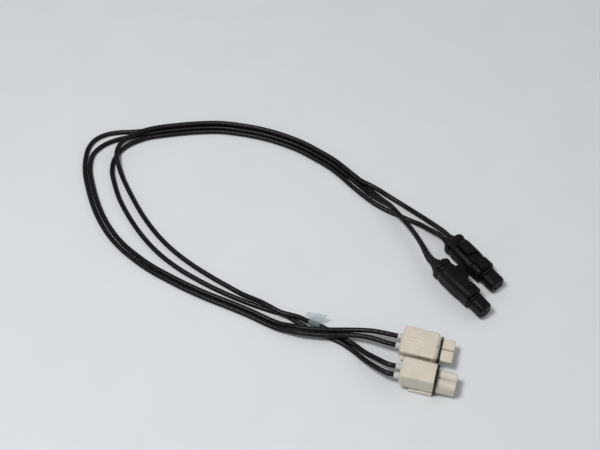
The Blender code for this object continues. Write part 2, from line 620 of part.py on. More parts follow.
def slim_white_plug(lead, holder, surfaces):
    """Slim white plug: tall ribbed body, flat front seal, nose with two round-topped silos."""
    bottom = LATCH_ARM_HEIGHT + GAP
    top = bottom + SLIM_BODY_HEIGHT
    grip_width = SLIM_WIDTH + 2 * GRIP_PROUD
    nose_start = SLIM_BODY_LENGTH
    nose_end = nose_start + FRONT_SEAL_THICKNESS + 2 * GAP + SLIM_NOSE_LENGTH
    nose_bottom = bottom + SLIM_NOSE_RISE
    nose_top = top - SLIM_NOSE_TOP_DROP

    grip = rounded_outline(grip_width, bottom, top + GRIP_PROUD, HOUSING_CORNER)
    rear_width = grip_width - 2 * GRIP_REAR_BEVEL
    rear_top = top + GRIP_PROUD - GRIP_REAR_BEVEL
    grip_rear = rounded_outline(rear_width, bottom + GRIP_REAR_BEVEL, rear_top, HOUSING_CORNER)
    body = rounded_outline(SLIM_WIDTH, bottom, top, HOUSING_CORNER)
    front_width = SLIM_WIDTH - 2 * SLIM_FRONT_BEVEL
    front_bottom = bottom + SLIM_FRONT_BEVEL
    body_front = rounded_outline(front_width, front_bottom, top - SLIM_FRONT_BEVEL, HOUSING_CORNER)
    housing = loft(
        f"{lead}_white_housing",
        (
            (0.0, grip_rear),
            (GRIP_REAR_BEVEL, grip),
            (SLIM_GRIP_LENGTH, grip),
            (SLIM_GRIP_LENGTH + GRIP_PROUD, body),
            (SLIM_BODY_LENGTH - SLIM_FRONT_BEVEL, body),
            (SLIM_BODY_LENGTH, body_front),
        ),
    )
    nose_width = SLIM_WIDTH - 2 * SLIM_NOSE_SIDE_STEP
    lobe = nose_width / 4
    nose = lobed_outline(lobe, nose_bottom, nose_top, SLIM_NOSE_CORNER)
    tip_lobe = lobe - NOSE_TIP_BEVEL / 2
    tip_bottom = nose_bottom + NOSE_TIP_BEVEL
    nose_tip = lobed_outline(tip_lobe, tip_bottom, nose_top - NOSE_TIP_BEVEL, SLIM_NOSE_CORNER)
    silos = loft(
        "silos",
        ((nose_start - SLIM_NOSE_OVERLAP, nose), (nose_end - NOSE_TIP_BEVEL, nose), (nose_end, nose_tip)),
    )
    work_solid(housing, [silos], "UNION")
    tools = grip_grooves(SLIM_GROOVE_COUNT, SLIM_GRIP_LENGTH, top + GRIP_PROUD)
    tools += pole_cavities(SLIM_POLE_PITCH, SLIM_POLE_HEIGHT, nose_end)
    work_solid(housing, tools, "DIFFERENCE")
    put(housing, holder, surfaces["cream"])

    hole_width = nose_width + 2 * GAP
    seal_hole = rounded_outline(hole_width, nose_bottom - GAP, nose_top + GAP, SLIM_SEAL_HOLE_CORNER)
    rim_bottom = nose_bottom - SLIM_FRONT_SEAL_BELOW
    seal_rim = rounded_outline(SLIM_WIDTH, rim_bottom, top - SLIM_FRONT_SEAL_DROP, HOUSING_CORNER)
    seal_start = nose_start + GAP
    seal_end = seal_start + FRONT_SEAL_THICKNESS
    seal = loft(f"{lead}_white_front_seal", ((seal_start, seal_rim), (seal_end, seal_rim)))
    hole = loft("hole", ((seal_start - CUT_PAST, seal_hole), (seal_end + CUT_PAST, seal_hole)))
    work_solid(seal, [hole], "DIFFERENCE")
    put(seal, holder, surfaces["black_rubber"])

    latch_width = SLIM_WIDTH + 2 * SLIM_LATCH_PROUD
    white_latch(lead, holder, latch_width, SLIM_BODY_LENGTH, SLIM_LATCH_REAR, surfaces["cream"])
    white_fittings(lead, holder, SLIM_POLE_PITCH, SLIM_POLE_HEIGHT, nose_end, SLIM_SEAL_REACH, surfaces)


def black_outline(width, thickness, corner, drop=0.0):
    """Section of a black plug, centred on its axis or so far below it."""
    return rounded_outline(width, -thickness / 2 - drop, thickness / 2 - drop, corner, SHELL_CORNER_STEPS)


def cap_outline(inset, corner):
    """Section of the rear cap of a black plug, smaller by the inset all round."""
    width = CAP_WIDTH - 2 * inset
    return rounded_outline(width, inset - CAP_BOTTOM, CAP_TOP - inset, corner, SHELL_CORNER_STEPS)


def shell_outline(width, bottom, top, corner):
    """Section of the shell of a black plug."""
    return rounded_outline(width, bottom, top, corner, SHELL_CORNER_STEPS)


def black_bores(first, last, radius):
    """Two round holes along a black plug."""
    tools = []
    for _, across in pole_places(BLACK_POLE_PITCH):
        tools.append(rod("bore", first, last, radius, across, -BLACK_POLE_DROP))
    return tools


def black_plug(lead, holder, surfaces):
    """Black plug: grommet, rear cap, shell with a latch channel, rounded nose, seal, lever and contacts."""
    body_start = CAP_LENGTH + GAP
    neck_end = body_start + NECK_LENGTH
    waist_end = neck_end + WAIST_LENGTH
    body_end = waist_end + COLLAR_LENGTH
    nose_start = body_end + GAP
    root_end = nose_start + NOSE_ROOT_LENGTH
    nose_end = nose_start + NOSE_LENGTH

    grommet_front = black_outline(
        GROMMET_FRONT_WIDTH, GROMMET_FRONT_THICKNESS, GROMMET_FRONT_CORNER, BLACK_POLE_DROP
    )
    grommet_rear = black_outline(
        GROMMET_REAR_WIDTH, GROMMET_REAR_THICKNESS, GROMMET_REAR_CORNER, BLACK_POLE_DROP
    )
    grommet_start = -GAP - GROMMET_LENGTH
    grommet = loft(
        f"{lead}_black_grommet",
        (
            (grommet_start, grommet_rear),
            (grommet_start + GROMMET_REAR_STRAIGHT, grommet_rear),
            (-GAP, grommet_front),
        ),
    )
    tail_bore = CONTACT_TAIL_RADIUS + GAP
    work_solid(grommet, black_bores(grommet_start - CUT_PAST, CUT_PAST, tail_bore), "DIFFERENCE")
    put(grommet, holder, surfaces["black_rubber"])

    cap_rear = cap_outline(CAP_REAR_INSET, SHELL_REAR_CORNER)
    cap_full = cap_outline(0.0, SHELL_CORNER)
    cap_front = cap_outline(CAP_FRONT_INSET, SHELL_CORNER)
    cap = loft(
        f"{lead}_black_rear_cap",
        (
            (0.0, cap_rear),
            (CAP_REAR_BEVEL, cap_full),
            (CAP_LENGTH - CAP_FRONT_BEVEL, cap_full),
            (CAP_LENGTH, cap_front),
        ),
    )
    work_solid(cap, black_bores(-CUT_PAST, CAP_LENGTH + CUT_PAST, tail_bore), "DIFFERENCE")
    put(cap, holder, surfaces["black_plastic"])

    belly = -CAP_BOTTOM
    shelf = -COLLAR_BOTTOM
    neck = cap_outline(NECK_INSET, SHELL_CORNER)
    waist = shell_outline(WAIST_WIDTH, belly, WAIST_TOP, SHELL_CORNER)
    waist_front = shell_outline(WAIST_WIDTH, (belly + shelf) / 2, WAIST_TOP - WAIST_DIP, SHELL_CORNER)
    collar = shell_outline(COLLAR_WIDTH, shelf, COLLAR_TOP, SHELL_CORNER)
    collar_front = shell_outline(
        COLLAR_WIDTH - 2 * COLLAR_FRONT_INSET,
        shelf + COLLAR_FRONT_RISE,
        COLLAR_TOP - COLLAR_FRONT_INSET,
        SHELL_FRONT_CORNER,
    )
    body = loft(
        f"{lead}_black_body",
        (
            (body_start, neck),
            (neck_end, neck),
            (neck_end + SHELL_SLOPE, waist),
            (neck_end + WAIST_LENGTH * WAIST_LEVEL_SHARE, waist),
            (waist_end, waist_front),
            (waist_end + SHELL_SLOPE, collar),
            (body_end - COLLAR_FRONT_BEVEL, collar),
            (body_end, collar_front),
        ),
    )
    channel_width = LEVER_WIDTH + 2 * GAP
    channel_start = LEVER_REAR_ALONG - 2 * GAP
    cut_end = body_end + CUT_PAST
    channel = block("channel", channel_start, cut_end, channel_width, LEVER_CHANNEL_FLOOR, 2 * WAIST_TOP)
    tools = [channel] + black_bores(body_start - CUT_PAST, cut_end, CONTACT_RADIUS + GAP)
    work_solid(body, tools, "DIFFERENCE")
    put(body, holder, surfaces["black_plastic"])

    root = black_outline(NOSE_ROOT_WIDTH, NOSE_ROOT_THICKNESS, NOSE_ROOT_CORNER)
    nose_full = black_outline(NOSE_WIDTH, NOSE_THICKNESS, NOSE_CORNER)
    round_cut = 2 * NOSE_ROUND_INSET
    nose_round = black_outline(NOSE_WIDTH - round_cut, NOSE_THICKNESS - round_cut, NOSE_ROUND_CORNER)
    tip_cut = 2 * NOSE_TIP_INSET
    nose_tip = black_outline(NOSE_WIDTH - tip_cut, NOSE_THICKNESS - tip_cut, NOSE_TIP_CORNER)
    nose = loft(
        f"{lead}_black_nose",
        (
            (nose_start, root),
            (root_end, root),
            (root_end, nose_full),
            (nose_end - NOSE_ROUND_START, nose_full),
            (nose_end - NOSE_ROUND_END, nose_round),
            (nose_end, nose_tip),
        ),
    )
    tools = black_bores(nose_start - CUT_PAST, nose_end + CUT_PAST, CONTACT_PIN_RADIUS + GAP)
    work_solid(nose, tools, "DIFFERENCE")
    put(nose, holder, surfaces["black_plastic"])

    seal_start = nose_start + (NOSE_ROOT_LENGTH - NOSE_SEAL_LENGTH) / 2
    seal_hole = black_outline(
        NOSE_ROOT_WIDTH + 2 * GAP, NOSE_ROOT_THICKNESS + 2 * GAP, NOSE_ROOT_CORNER + GAP
    )
    rim_growth = 2 * (GAP + NOSE_SEAL_THICKNESS)
    rim_corner = NOSE_ROOT_CORNER + NOSE_SEAL_THICKNESS
    seal_rim = black_outline(NOSE_ROOT_WIDTH + rim_growth, NOSE_ROOT_THICKNESS + rim_growth, rim_corner)
    seal_end = seal_start + NOSE_SEAL_LENGTH
    seal = loft(f"{lead}_black_nose_seal", ((seal_start, seal_rim), (seal_end, seal_rim)))
    hole = loft("hole", ((seal_start - CUT_PAST, seal_hole), (seal_end + CUT_PAST, seal_hole)))
    work_solid(seal, [hole], "DIFFERENCE")
    put(seal, holder, surfaces["black_rubber"])

    black_lever(lead, holder, body_end, surfaces["black_plastic"])

    barrel_start = body_start + CONTACT_BARREL_MARGIN
    barrel_end = body_end - CONTACT_BARREL_MARGIN
    tip_radius = CONTACT_PIN_RADIUS - CONTACT_TIP_STEP
    for side, across in pole_places(BLACK_POLE_PITCH):
        tail = circle_outline(CONTACT_TAIL_RADIUS, across, -BLACK_POLE_DROP, CONTACT_STEPS)
        barrel = circle_outline(CONTACT_RADIUS, across, -BLACK_POLE_DROP, CONTACT_STEPS)
        pin = circle_outline(CONTACT_PIN_RADIUS, across, -BLACK_POLE_DROP, CONTACT_STEPS)
        pin_tip = circle_outline(tip_radius, across, -BLACK_POLE_DROP, CONTACT_STEPS)
        contact = loft(
            f"{lead}_black_contact_{side}",
            (
                (grommet_start + CONTACT_TAIL_SETBACK, tail),
                (barrel_start, tail),
                (barrel_start, barrel),
                (barrel_end, barrel),
                (barrel_end, pin),
                (nose_end - CONTACT_TIP_START, pin),
                (nose_end - CONTACT_TIP_SETBACK, pin_tip),
            ),
        )
        put(contact, holder, surfaces["brass"])


def black_lever(lead, holder, body_end, surface):
    """Latch lever: thumb pad behind the fulcrum, catch block in front of it."""
    floor = LEVER_CHANNEL_FLOOR
    low = floor + GAP
    under = floor + LEVER_SWING_SPACE
    arm_top = low + LEVER_THICKNESS
    rear = LEVER_REAR_ALONG
    fulcrum = LEVER_FULCRUM_ALONG
    front = body_end - GAP
    block_rear = front - LEVER_BLOCK_LENGTH
    block_top = low + LEVER_BLOCK_HEIGHT
    pad_front = rear + LEVER_PAD_LENGTH
    pad_top = under + LEVER_PAD_HEIGHT
    profile = (
        (rear, under),
        (fulcrum - LEVER_HEEL_REAR, under),
        (fulcrum - LEVER_HEEL_FRONT, low),
        (front, low),
        (front, block_top - LEVER_BEVEL),
        (front - LEVER_BEVEL, block_top),
        (block_rear + LEVER_STEP_SLOPE, block_top),
        (block_rear, arm_top),
        (pad_front + LEVER_STEP_SLOPE, arm_top),
        (pad_front, pad_top),
        (rear + LEVER_BEVEL, pad_top),
        (rear, pad_top - LEVER_BEVEL),
    )
    lever = bar(f"{lead}_black_latch", profile, LEVER_WIDTH)
    put(lever, holder, surface, (fulcrum, 0.0, low))


def plug_spot(place, yaw, along, across):
    """Table position of a point given along and across a plug."""
    turn = math.radians(yaw)
    x = place[0] + along * math.cos(turn) - across * math.sin(turn)
    y = place[1] + along * math.sin(turn) + across * math.cos(turn)
    return x, y


def way_out(place, yaw, along, across, height):
    """First two route points of a wire: its end at a plug and a point straight out of it."""
    lift = height - WIRE_DIAMETER / 2
    end = plug_spot(place, yaw, along - GAP, across)
    clear = plug_spot(place, yaw, along - GAP - WIRE_STRAIGHT_OUT, across)
    return [(*end, lift), (*clear, lift)]


def beside(run, lanes, lift):
    """Route points beside a shared run, so many lane widths to the left of it."""
    points = []
    for index, (x, y) in enumerate(run):
        before = run[max(index - 1, 0)]
        after = run[min(index + 1, len(run) - 1)]
        step_x = after[0] - before[0]
        step_y = after[1] - before[1]
        shift = lanes * WIRE_LANE / math.hypot(step_x, step_y)
        points.append((x - step_y * shift, y + step_x * shift, lift))
    return points


def smooth_line(route):
    """Evenly spaced points on a smooth curve that passes through every route point."""
    points = [Vector((x, y, lift + WIRE_DIAMETER / 2)) for x, y, lift in route]
    padded = [2 * points[0] - points[1]] + points + [2 * points[-1] - points[-2]]
    fine = [points[0]]
    for a, b, c, d in zip(padded, padded[1:], padded[2:], padded[3:]):
        t1 = (b - a).length ** 0.5
        t2 = t1 + (c - b).length ** 0.5
        t3 = t2 + (d - c).length ** 0.5
        for step in range(1, WIRE_CURVE_STEPS + 1):
            t = t1 + (t2 - t1) * step / WIRE_CURVE_STEPS
            ab = a.lerp(b, t / t1)
            bc = b.lerp(c, (t - t1) / (t2 - t1))
            cd = c.lerp(d, (t - t2) / (t3 - t2))
            abc = ab.lerp(bc, t / t2)
            bcd = bc.lerp(cd, (t - t1) / (t3 - t1))
            fine.append(abc.lerp(bcd, (t - t1) / (t2 - t1)))
    lengths = [0.0]
    for near, far in zip(fine, fine[1:]):
        lengths.append(lengths[-1] + (far - near).length)
    count = round(lengths[-1] / WIRE_POINT_SPACING)
    even = []
    index = 0
    for step in range(count + 1):
        wanted = lengths[-1] * step / count
        while index < len(fine) - 2 and lengths[index + 1] < wanted:
            index += 1
        share = (wanted - lengths[index]) / (lengths[index + 1] - lengths[index])
        place = fine[index].lerp(fine[index + 1], share)
        place.z = max(place.z, WIRE_DIAMETER / 2)
        even.append(place)
    return even


def wire(name, route, surface):
    """One wire: a round tube along its route. Gives back the points of its centre line."""
    line = smooth_line(route)
    curve = bpy.data.curves.new(name, "CURVE")
    curve.dimensions = "3D"
    curve.bevel_depth = WIRE_DIAMETER / 2 * MM
    curve.bevel_resolution = WIRE_BEVEL_RESOLUTION
    curve.use_fill_caps = True
    spline = curve.splines.new("POLY")
    spline.points.add(len(line) - 1)
    for point, place in zip(spline.points, line):
        point.co = (*(place * MM), 1.0)
    made = bpy.data.objects.new(name, curve)
    bpy.context.collection.objects.link(made)
    curve.materials.append(surface)
    return line


def wires(surface):
    """All four wires, each drawn from its black plug to its white one. Gives back the line of the last."""
    rear = -GAP - GROMMET_LENGTH
    half = BLACK_POLE_PITCH / 2
    edge_height = CAP_WIDTH / 2
    flat_height = CAP_BOTTOM - BLACK_POLE_DROP
    wide_half = WIDE_POLE_PITCH / 2
    slim_half = SLIM_POLE_PITCH / 2
    wide_far = way_out(WIDE_PLACE, WIDE_YAW, -WIDE_SEAL_REACH, wide_half, WIDE_POLE_HEIGHT)
    wide_near = way_out(WIDE_PLACE, WIDE_YAW, -WIDE_SEAL_REACH, -wide_half, WIDE_POLE_HEIGHT)
    slim_far = way_out(SLIM_PLACE, SLIM_YAW, -SLIM_SEAL_REACH, slim_half, SLIM_POLE_HEIGHT)
    slim_near = way_out(SLIM_PLACE, SLIM_YAW, -SLIM_SEAL_REACH, -slim_half, SLIM_POLE_HEIGHT)

    route = way_out(EDGE_PLACE, EDGE_YAW, rear, -BLACK_POLE_DROP, edge_height - half)
    route += LOWER_EDGE_WIRE_START
    route += beside(LOOP_RUN, -1.0, 0.0)
    route += LOWER_EDGE_WIRE_TURN
    route += beside(OUTER_RUN, -0.5, 0.0)
    route += LOWER_EDGE_WIRE_END
    route += wide_near[::-1]
    wire("lead1_wire_lower", route, surface)

    route = way_out(EDGE_PLACE, EDGE_YAW, rear, -BLACK_POLE_DROP, edge_height + half)
    route += UPPER_EDGE_WIRE_START
    route += beside(LOOP_RUN, 0.0, 0.0)
    route += UPPER_EDGE_WIRE_TURN
    route += beside(OUTER_RUN, 0.5, 0.0)
    route += UPPER_EDGE_WIRE_END
    route += wide_far[::-1]
    wire("lead1_wire_upper", route, surface)

    route = way_out(FLAT_PLACE, FLAT_YAW, rear, -half, flat_height)
    route += NEAR_FLAT_WIRE_START
    route += beside(LOOP_RUN, 1.0, 0.0)[1:]
    route += NEAR_FLAT_WIRE_END
    route += slim_near[::-1]
    wire("lead2_wire_near", route, surface)

    route = way_out(FLAT_PLACE, FLAT_YAW, rear, half, flat_height)
    route += FAR_FLAT_WIRE_START
    route += beside(LOOP_RUN, -0.5, WIRE_LAYER)
    route += FAR_FLAT_WIRE_END
    route += slim_far[::-1]
    return wire("lead2_wire_far", route, surface)


def marker_flag(surface, line):
    """Clear flag: a sleeve round the wire and a stiff fin that leans up from it."""
    bore = WIRE_DIAMETER / 2 + GAP
    rim = bore + FLAG_THICKNESS
    half = FLAG_LENGTH / 2
    flag = turned("marker_flag", ((-half, bore), (half, bore), (half, rim), (-half, rim)))
    middle = bore + FLAG_THICKNESS / 2
    rear_tip = (-FLAG_REAR_TIP, FLAG_REAR_REACH)
    front_tip = (FLAG_FRONT_TIP, FLAG_FRONT_REACH)
    fin = bar(
        "fin",
        ((-FLAG_REAR_BASE, middle), (FLAG_FRONT_BASE, middle), front_tip, rear_tip),
        FLAG_THICKNESS,
    )
    lean = math.radians(90.0 - FLAG_RISE)
    for vertex in fin.data.vertices:
        across = vertex.co.y
        height = vertex.co.z
        vertex.co.y = across * math.cos(lean) + height * math.sin(lean)
        vertex.co.z = height * math.cos(lean) - across * math.sin(lean)
    work_solid(flag, [fin], "UNION")
    spot = Vector(FLAG_SPOT)
    nearest = min(range(1, len(line) - 1), key=lambda index: (line[index].xy - spot).length)
    along = line[nearest + 1] - line[nearest - 1]
    flag.location = line[nearest] * MM
    flag.rotation_mode = "XYZ"
    flag.rotation_euler = (0.0, math.atan2(-along.z, along.xy.length), math.atan2(along.y, along.x))
    flag.data.materials.clear()
    flag.data.materials.append(surface)


def surfaces_of_set():
    """Every surface used in the set."""
    return {
        "cream": material("cream_plastic", (0.80, 0.76, 0.66), 0.42),
        "black_plastic": material("black_plastic", (0.012, 0.012, 0.014), 0.45),
        "black_rubber": material("black_rubber", (0.016, 0.016, 0.017), 0.65),
        "silicone": material("pale_silicone", (0.72, 0.72, 0.70), 0.5),
        "brass": material("brass", (0.72, 0.53, 0.22), 0.3, metallic=1.0),
        "wire": material("wire_sheath", (0.010, 0.010, 0.011), 0.5),
        "film": material("clear_film", (0.85, 0.87, 0.88), 0.15, transmission=0.8),
    }


def build():
    """Draws the whole set."""
    clear_scene()
    surfaces = surfaces_of_set()
    wide_white_plug("lead1", holder_at("lead1_white_place", WIDE_PLACE, 0.0, WIDE_YAW), surfaces)
    slim_white_plug("lead2", holder_at("lead2_white_place", SLIM_PLACE, 0.0, SLIM_YAW), surfaces)
    edge_holder = holder_at("lead1_black_place", EDGE_PLACE, CAP_WIDTH / 2, EDGE_YAW, EDGE_ROLL)
    black_plug("lead1", edge_holder, surfaces)
    black_plug("lead2", holder_at("lead2_black_place", FLAT_PLACE, CAP_BOTTOM, FLAT_YAW), surfaces)
    flag_line = wires(surfaces["wire"])
    marker_flag(surfaces["film"], flag_line)


build()
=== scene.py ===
"""Looks of the two-lead connector cable set: wires, marker flag, plug surfaces, light and camera."""
import json
import math

import bmesh
import bpy
import numpy as np
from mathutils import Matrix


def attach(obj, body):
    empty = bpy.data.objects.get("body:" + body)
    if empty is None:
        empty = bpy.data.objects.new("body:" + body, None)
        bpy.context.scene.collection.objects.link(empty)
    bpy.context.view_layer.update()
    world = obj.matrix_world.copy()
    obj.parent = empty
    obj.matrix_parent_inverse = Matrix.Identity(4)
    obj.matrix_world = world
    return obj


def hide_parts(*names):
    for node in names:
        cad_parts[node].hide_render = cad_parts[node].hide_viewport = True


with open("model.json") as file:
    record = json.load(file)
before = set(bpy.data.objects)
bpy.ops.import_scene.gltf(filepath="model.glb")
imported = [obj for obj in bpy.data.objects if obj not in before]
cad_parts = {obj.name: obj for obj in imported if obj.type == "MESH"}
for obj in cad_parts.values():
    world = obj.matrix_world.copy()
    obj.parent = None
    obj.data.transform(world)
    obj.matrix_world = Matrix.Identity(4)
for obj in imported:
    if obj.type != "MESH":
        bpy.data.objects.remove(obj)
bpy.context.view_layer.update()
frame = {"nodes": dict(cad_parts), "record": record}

MM = 0.001
SET_BODY = "cable_set"

# The camera stands where the photograph was taken from
CAMERA_AIM = (-0.0694, 0.0531, 0.0)
CAMERA_ELEVATION = 54.0
CAMERA_DISTANCE = 0.55
CAMERA_LENS = 66.0

# Wires, in millimetres as in the part's source
GAP = 0.3
WIRE_DIAMETER = 2.4
WIRE_STRAIGHT_OUT = 3.0
WIRE_STEP = 1.3
WIRE_SIDES = 18
WIRE_LANE = WIRE_DIAMETER + GAP
WIRE_LAYER = WIRE_LANE * math.sin(math.radians(60))

# Where the rear face of each plug stands and which way its nose points
WIDE_PLACE = (-23.26, -17.81)
WIDE_YAW = -15.0
SLIM_PLACE = (-24.26, -33.21)
SLIM_YAW = -14.6
EDGE_PLACE = (-2.5, 24.95)
EDGE_YAW = -52.6
FLAT_PLACE = (4.8, 39.8)
FLAT_YAW = -52.5

# Wire ends at the plugs: how far behind the rear face, how far apart, how high
BLACK_EXIT = -3
BLACK_POLE_HALF = 1.5
EDGE_POLE_SHIFT = -0.8
EDGE_HEIGHT = 5.5
FLAT_HEIGHT = 3.9
WIDE_EXIT = -1.7
WIDE_POLE_HALF = 2.4
WIDE_POLE_HEIGHT = 7.1
SLIM_EXIT = -2.4
SLIM_POLE_HALF = 2.2
SLIM_POLE_HEIGHT = 7.0

# Each plug's stance: place, yaw, height of its axis, roll
WIDE_PLUG = (WIDE_PLACE, WIDE_YAW, 0.0, 0.0)
SLIM_PLUG = (SLIM_PLACE, SLIM_YAW, 0.0, 0.0)
EDGE_PLUG = (EDGE_PLACE, EDGE_YAW, 5.5, -90.0)
FLAT_PLUG = (FLAT_PLACE, FLAT_YAW, 4.7, 0.0)

# Pale plugs, sizes shared by both
PLUG_BOTTOM = 2.9
GRIP_GROOVE_WIDTH = 0.55
GRIP_GROOVE_DEPTH = 0.32
GRIP_REAR_BEVEL = 1.0
GRIP_GROOVE_PITCH = 1.9
HOUSING_CORNER = 1.1
FRONT_SEAL_THICKNESS = 0.8
WIRE_SEAL_RADIUS = 1.65
WIRE_SEAL_BORE = 1.0
WIRE_SEAL_DEPTH = 4.4
CONTACT_HOLE_RADIUS = 0.95

# Wide pale plug
WIDE_WIDTH = 14.2
WIDE_BODY_LENGTH = 16.0
WIDE_BODY_HEIGHT = 7.9
WIDE_GRIP_LENGTH = 9.0
WIDE_GROOVE_COUNT = 5
WIDE_COLLAR_WIDTH = 12.0
WIDE_COLLAR_LENGTH = 1.5
WIDE_COLLAR_DROP = 1.3
WIDE_NOSE_ROOT_WIDTH = 10.8
WIDE_NOSE_WIDTH = 12.0
WIDE_NOSE_DROP = 2.0
WIDE_NOSE_LENGTH = 5.5
WIDE_NOSE_HEIGHT = 3.6
WIDE_NOSE_UNDERCUT = 1.2
WIDE_SIDE_RECESS = 1.5
WIDE_TOP_PLATE = 1.0
WIDE_SLOT_WIDTH = 0.7
WIDE_SLOT_DEPTH = 2.6

# Slim pale plug
SLIM_WIDTH = 10.4
SLIM_BODY_LENGTH = 15.6
SLIM_BODY_HEIGHT = 9.7
SLIM_GRIP_LENGTH = 8.0
SLIM_GROOVE_COUNT = 3
SLIM_NOSE_SIDE_STEP = 0.6
SLIM_NOSE_TOP_DROP = 2.5
SLIM_NOSE_LENGTH = 8.2

# Black plugs, both alike
CAP_WIDTH = 11.0
CAP_TOP = 4.3
CAP_BOTTOM = 4.7
CAP_LENGTH = 3.2
SHELL_CORNER = 3.0
NECK_INSET = 0.25
NECK_LENGTH = 1.2
WAIST_WIDTH = 11.0
WAIST_TOP = 4.4
WAIST_DIP = 0.8
WAIST_LENGTH = 12.6
COLLAR_WIDTH = 10.8
COLLAR_TOP = 4.7
COLLAR_BOTTOM = 4.2
COLLAR_LENGTH = 6.7
NOSE_WIDTH = 8.2
NOSE_THICKNESS = 7.2
NOSE_LENGTH = 8.5
NOSE_ROOT_LENGTH = 1.4
NOSE_ROOT_WIDTH = 6.2
NOSE_ROOT_THICKNESS = 5.4
GROMMET_FRONT_WIDTH = 7.8
GROMMET_FRONT_THICKNESS = 5.8
GROMMET_REAR_WIDTH = 5.6
GROMMET_REAR_THICKNESS = 3.6
GROMMET_LENGTH = 2.7
BLACK_POLE_DROP = 0.8
LEVER_WIDTH = 4.4
LEVER_CHANNEL_FLOOR = 3.0
LEVER_REAR_ALONG = 5.8
CONTACT_PIN_RADIUS = 0.6

# Wire routes over the table: x and y of the wire, then how far its underside is above the table
LOOP_RUN = (
    (-39.7, 78.0), (-46.4, 85.1), (-52.5, 91.2), (-60.2, 97.1), (-68.2, 102.6), (-78.9, 108.0),
    (-89.8, 112.0), (-100.7, 114.6), (-111.7, 116.2), (-122.7, 116.0), (-133.4, 114.9), (-144.2, 113.2),
)
OUTER_RUN = (
    (-179.1, 85.8), (-176.8, 76.8), (-173.5, 66.8), (-169.4, 57.3), (-163.7, 47.6), (-157.7, 40.1),
    (-150.2, 33.0), (-142.2, 26.7), (-132.2, 20.4), (-122.2, 14.7), (-112.2, 9.7), (-102.6, 5.4),
    (-93.2, 0.9), (-84.7, -3.7),
)
LOWER_EDGE_WIRE_START = (
    (-10.4, 39.6, 2.8), (-13.8, 46.7, 2.8), (-17.2, 52.4, 2.8), (-20.6, 57.7, 2.8), (-24.2, 63.1, 2.2),
    (-27.6, 67.4, 0.8), (-31.5, 72.0, 0.1),
)
LOWER_EDGE_WIRE_TURN = (
    (-151.2, 114.4, 0.0), (-158.2, 113.4, 0.0), (-165.2, 113.0, 0.0), (-172.2, 111.4, 0.0),
    (-177.5, 107.8, 0.0), (-180.4, 102.3, 0.0), (-181.2, 93.8, 0.0),
)
LOWER_EDGE_WIRE_END = (
    (-79.3, -8.0, 0.6), (-74.6, -9.8, 1.9), (-69.8, -11.4, 2.8), (-61.8, -12.6, 3.2),
    (-55.5, -13.1, 3.5), (-48.7, -13.2, 3.8), (-42.0, -14.1, 4.6), (-36.7, -15.8, 5.5),
)
UPPER_EDGE_WIRE_START = (
    (-10.6, 37.7, 5.4), (-14.1, 44.8, 5.4), (-17.5, 50.4, 5.4), (-21.0, 55.6, 5.3), (-24.6, 61.0, 4.6),
    (-28.6, 65.5, 3.1), (-33.2, 70.0, 1.5),
)
UPPER_EDGE_WIRE_TURN = (
    (-151.2, 111.8, 0.0), (-159.2, 109.8, 0.0), (-165.6, 108.0, 0.0), (-170.9, 105.4, 0.0),
    (-175.2, 101.6, 0.0), (-177.7, 97.4, 0.0), (-178.3, 92.8, 0.0),
)
UPPER_EDGE_WIRE_END = (
    (-78.5, -5.3, 0.6), (-73.6, -7.1, 1.9), (-68.9, -8.7, 2.8), (-61.4, -9.8, 3.2), (-55.2, -10.3, 3.5),
    (-48.4, -10.5, 3.8), (-41.6, -11.1, 4.6), (-35.4, -12.1, 5.4),
)
FAR_FLAT_WIRE_START = (
    (-4.6, 52.4, 2.1), (-14.0, 61.5, 0.6), (-20.7, 67.2, 0.3), (-25.7, 70.6, 1.1), (-29.8, 73.0, 2.2),
    (-34.2, 75.6, 2.8),
)
FAR_FLAT_WIRE_END = (
    (-150.7, 112.4, 2.7), (-156.5, 109.4, 2.8), (-161.2, 105.7, 2.8), (-164.0, 101.2, 2.9),
    (-164.8, 96.4, 2.8), (-163.9, 91.4, 1.8), (-162.2, 86.3, 0.6), (-160.2, 81.3, 0.0),
    (-155.2, 70.8, 0.0), (-148.2, 58.0, 0.0), (-140.2, 46.4, 0.0), (-131.7, 36.9, 0.0),
    (-121.4, 28.0, 0.0), (-110.4, 20.1, 0.0), (-103.2, 15.4, 0.0), (-97.4, 11.6, 0.2),
    (-92.2, 8.4, 1.3), (-87.2, 5.2, 2.5), (-82.7, 2.2, 2.9), (-78.8, -0.2, 2.9), (-74.7, -1.6, 2.9),
    (-70.2, -2.8, 2.6), (-66.2, -4.3, 1.7), (-60.2, -6.7, 1.1), (-55.2, -9.2, 0.4), (-48.6, -13.2, 0.0),
    (-44.0, -16.7, 0.4), (-40.2, -20.8, 1.8), (-36.3, -24.5, 3.8),
)
NEAR_FLAT_WIRE_START = (
    (-5.0, 47.8, 2.0), (-9.6, 51.8, 1.0), (-13.6, 54.5, 0.2), (-19.1, 57.7, 0.0), (-25.2, 61.0, 0.0),
    (-31.5, 65.4, 0.0), (-36.8, 70.4, 0.0), (-42.8, 76.8, 0.0),
)
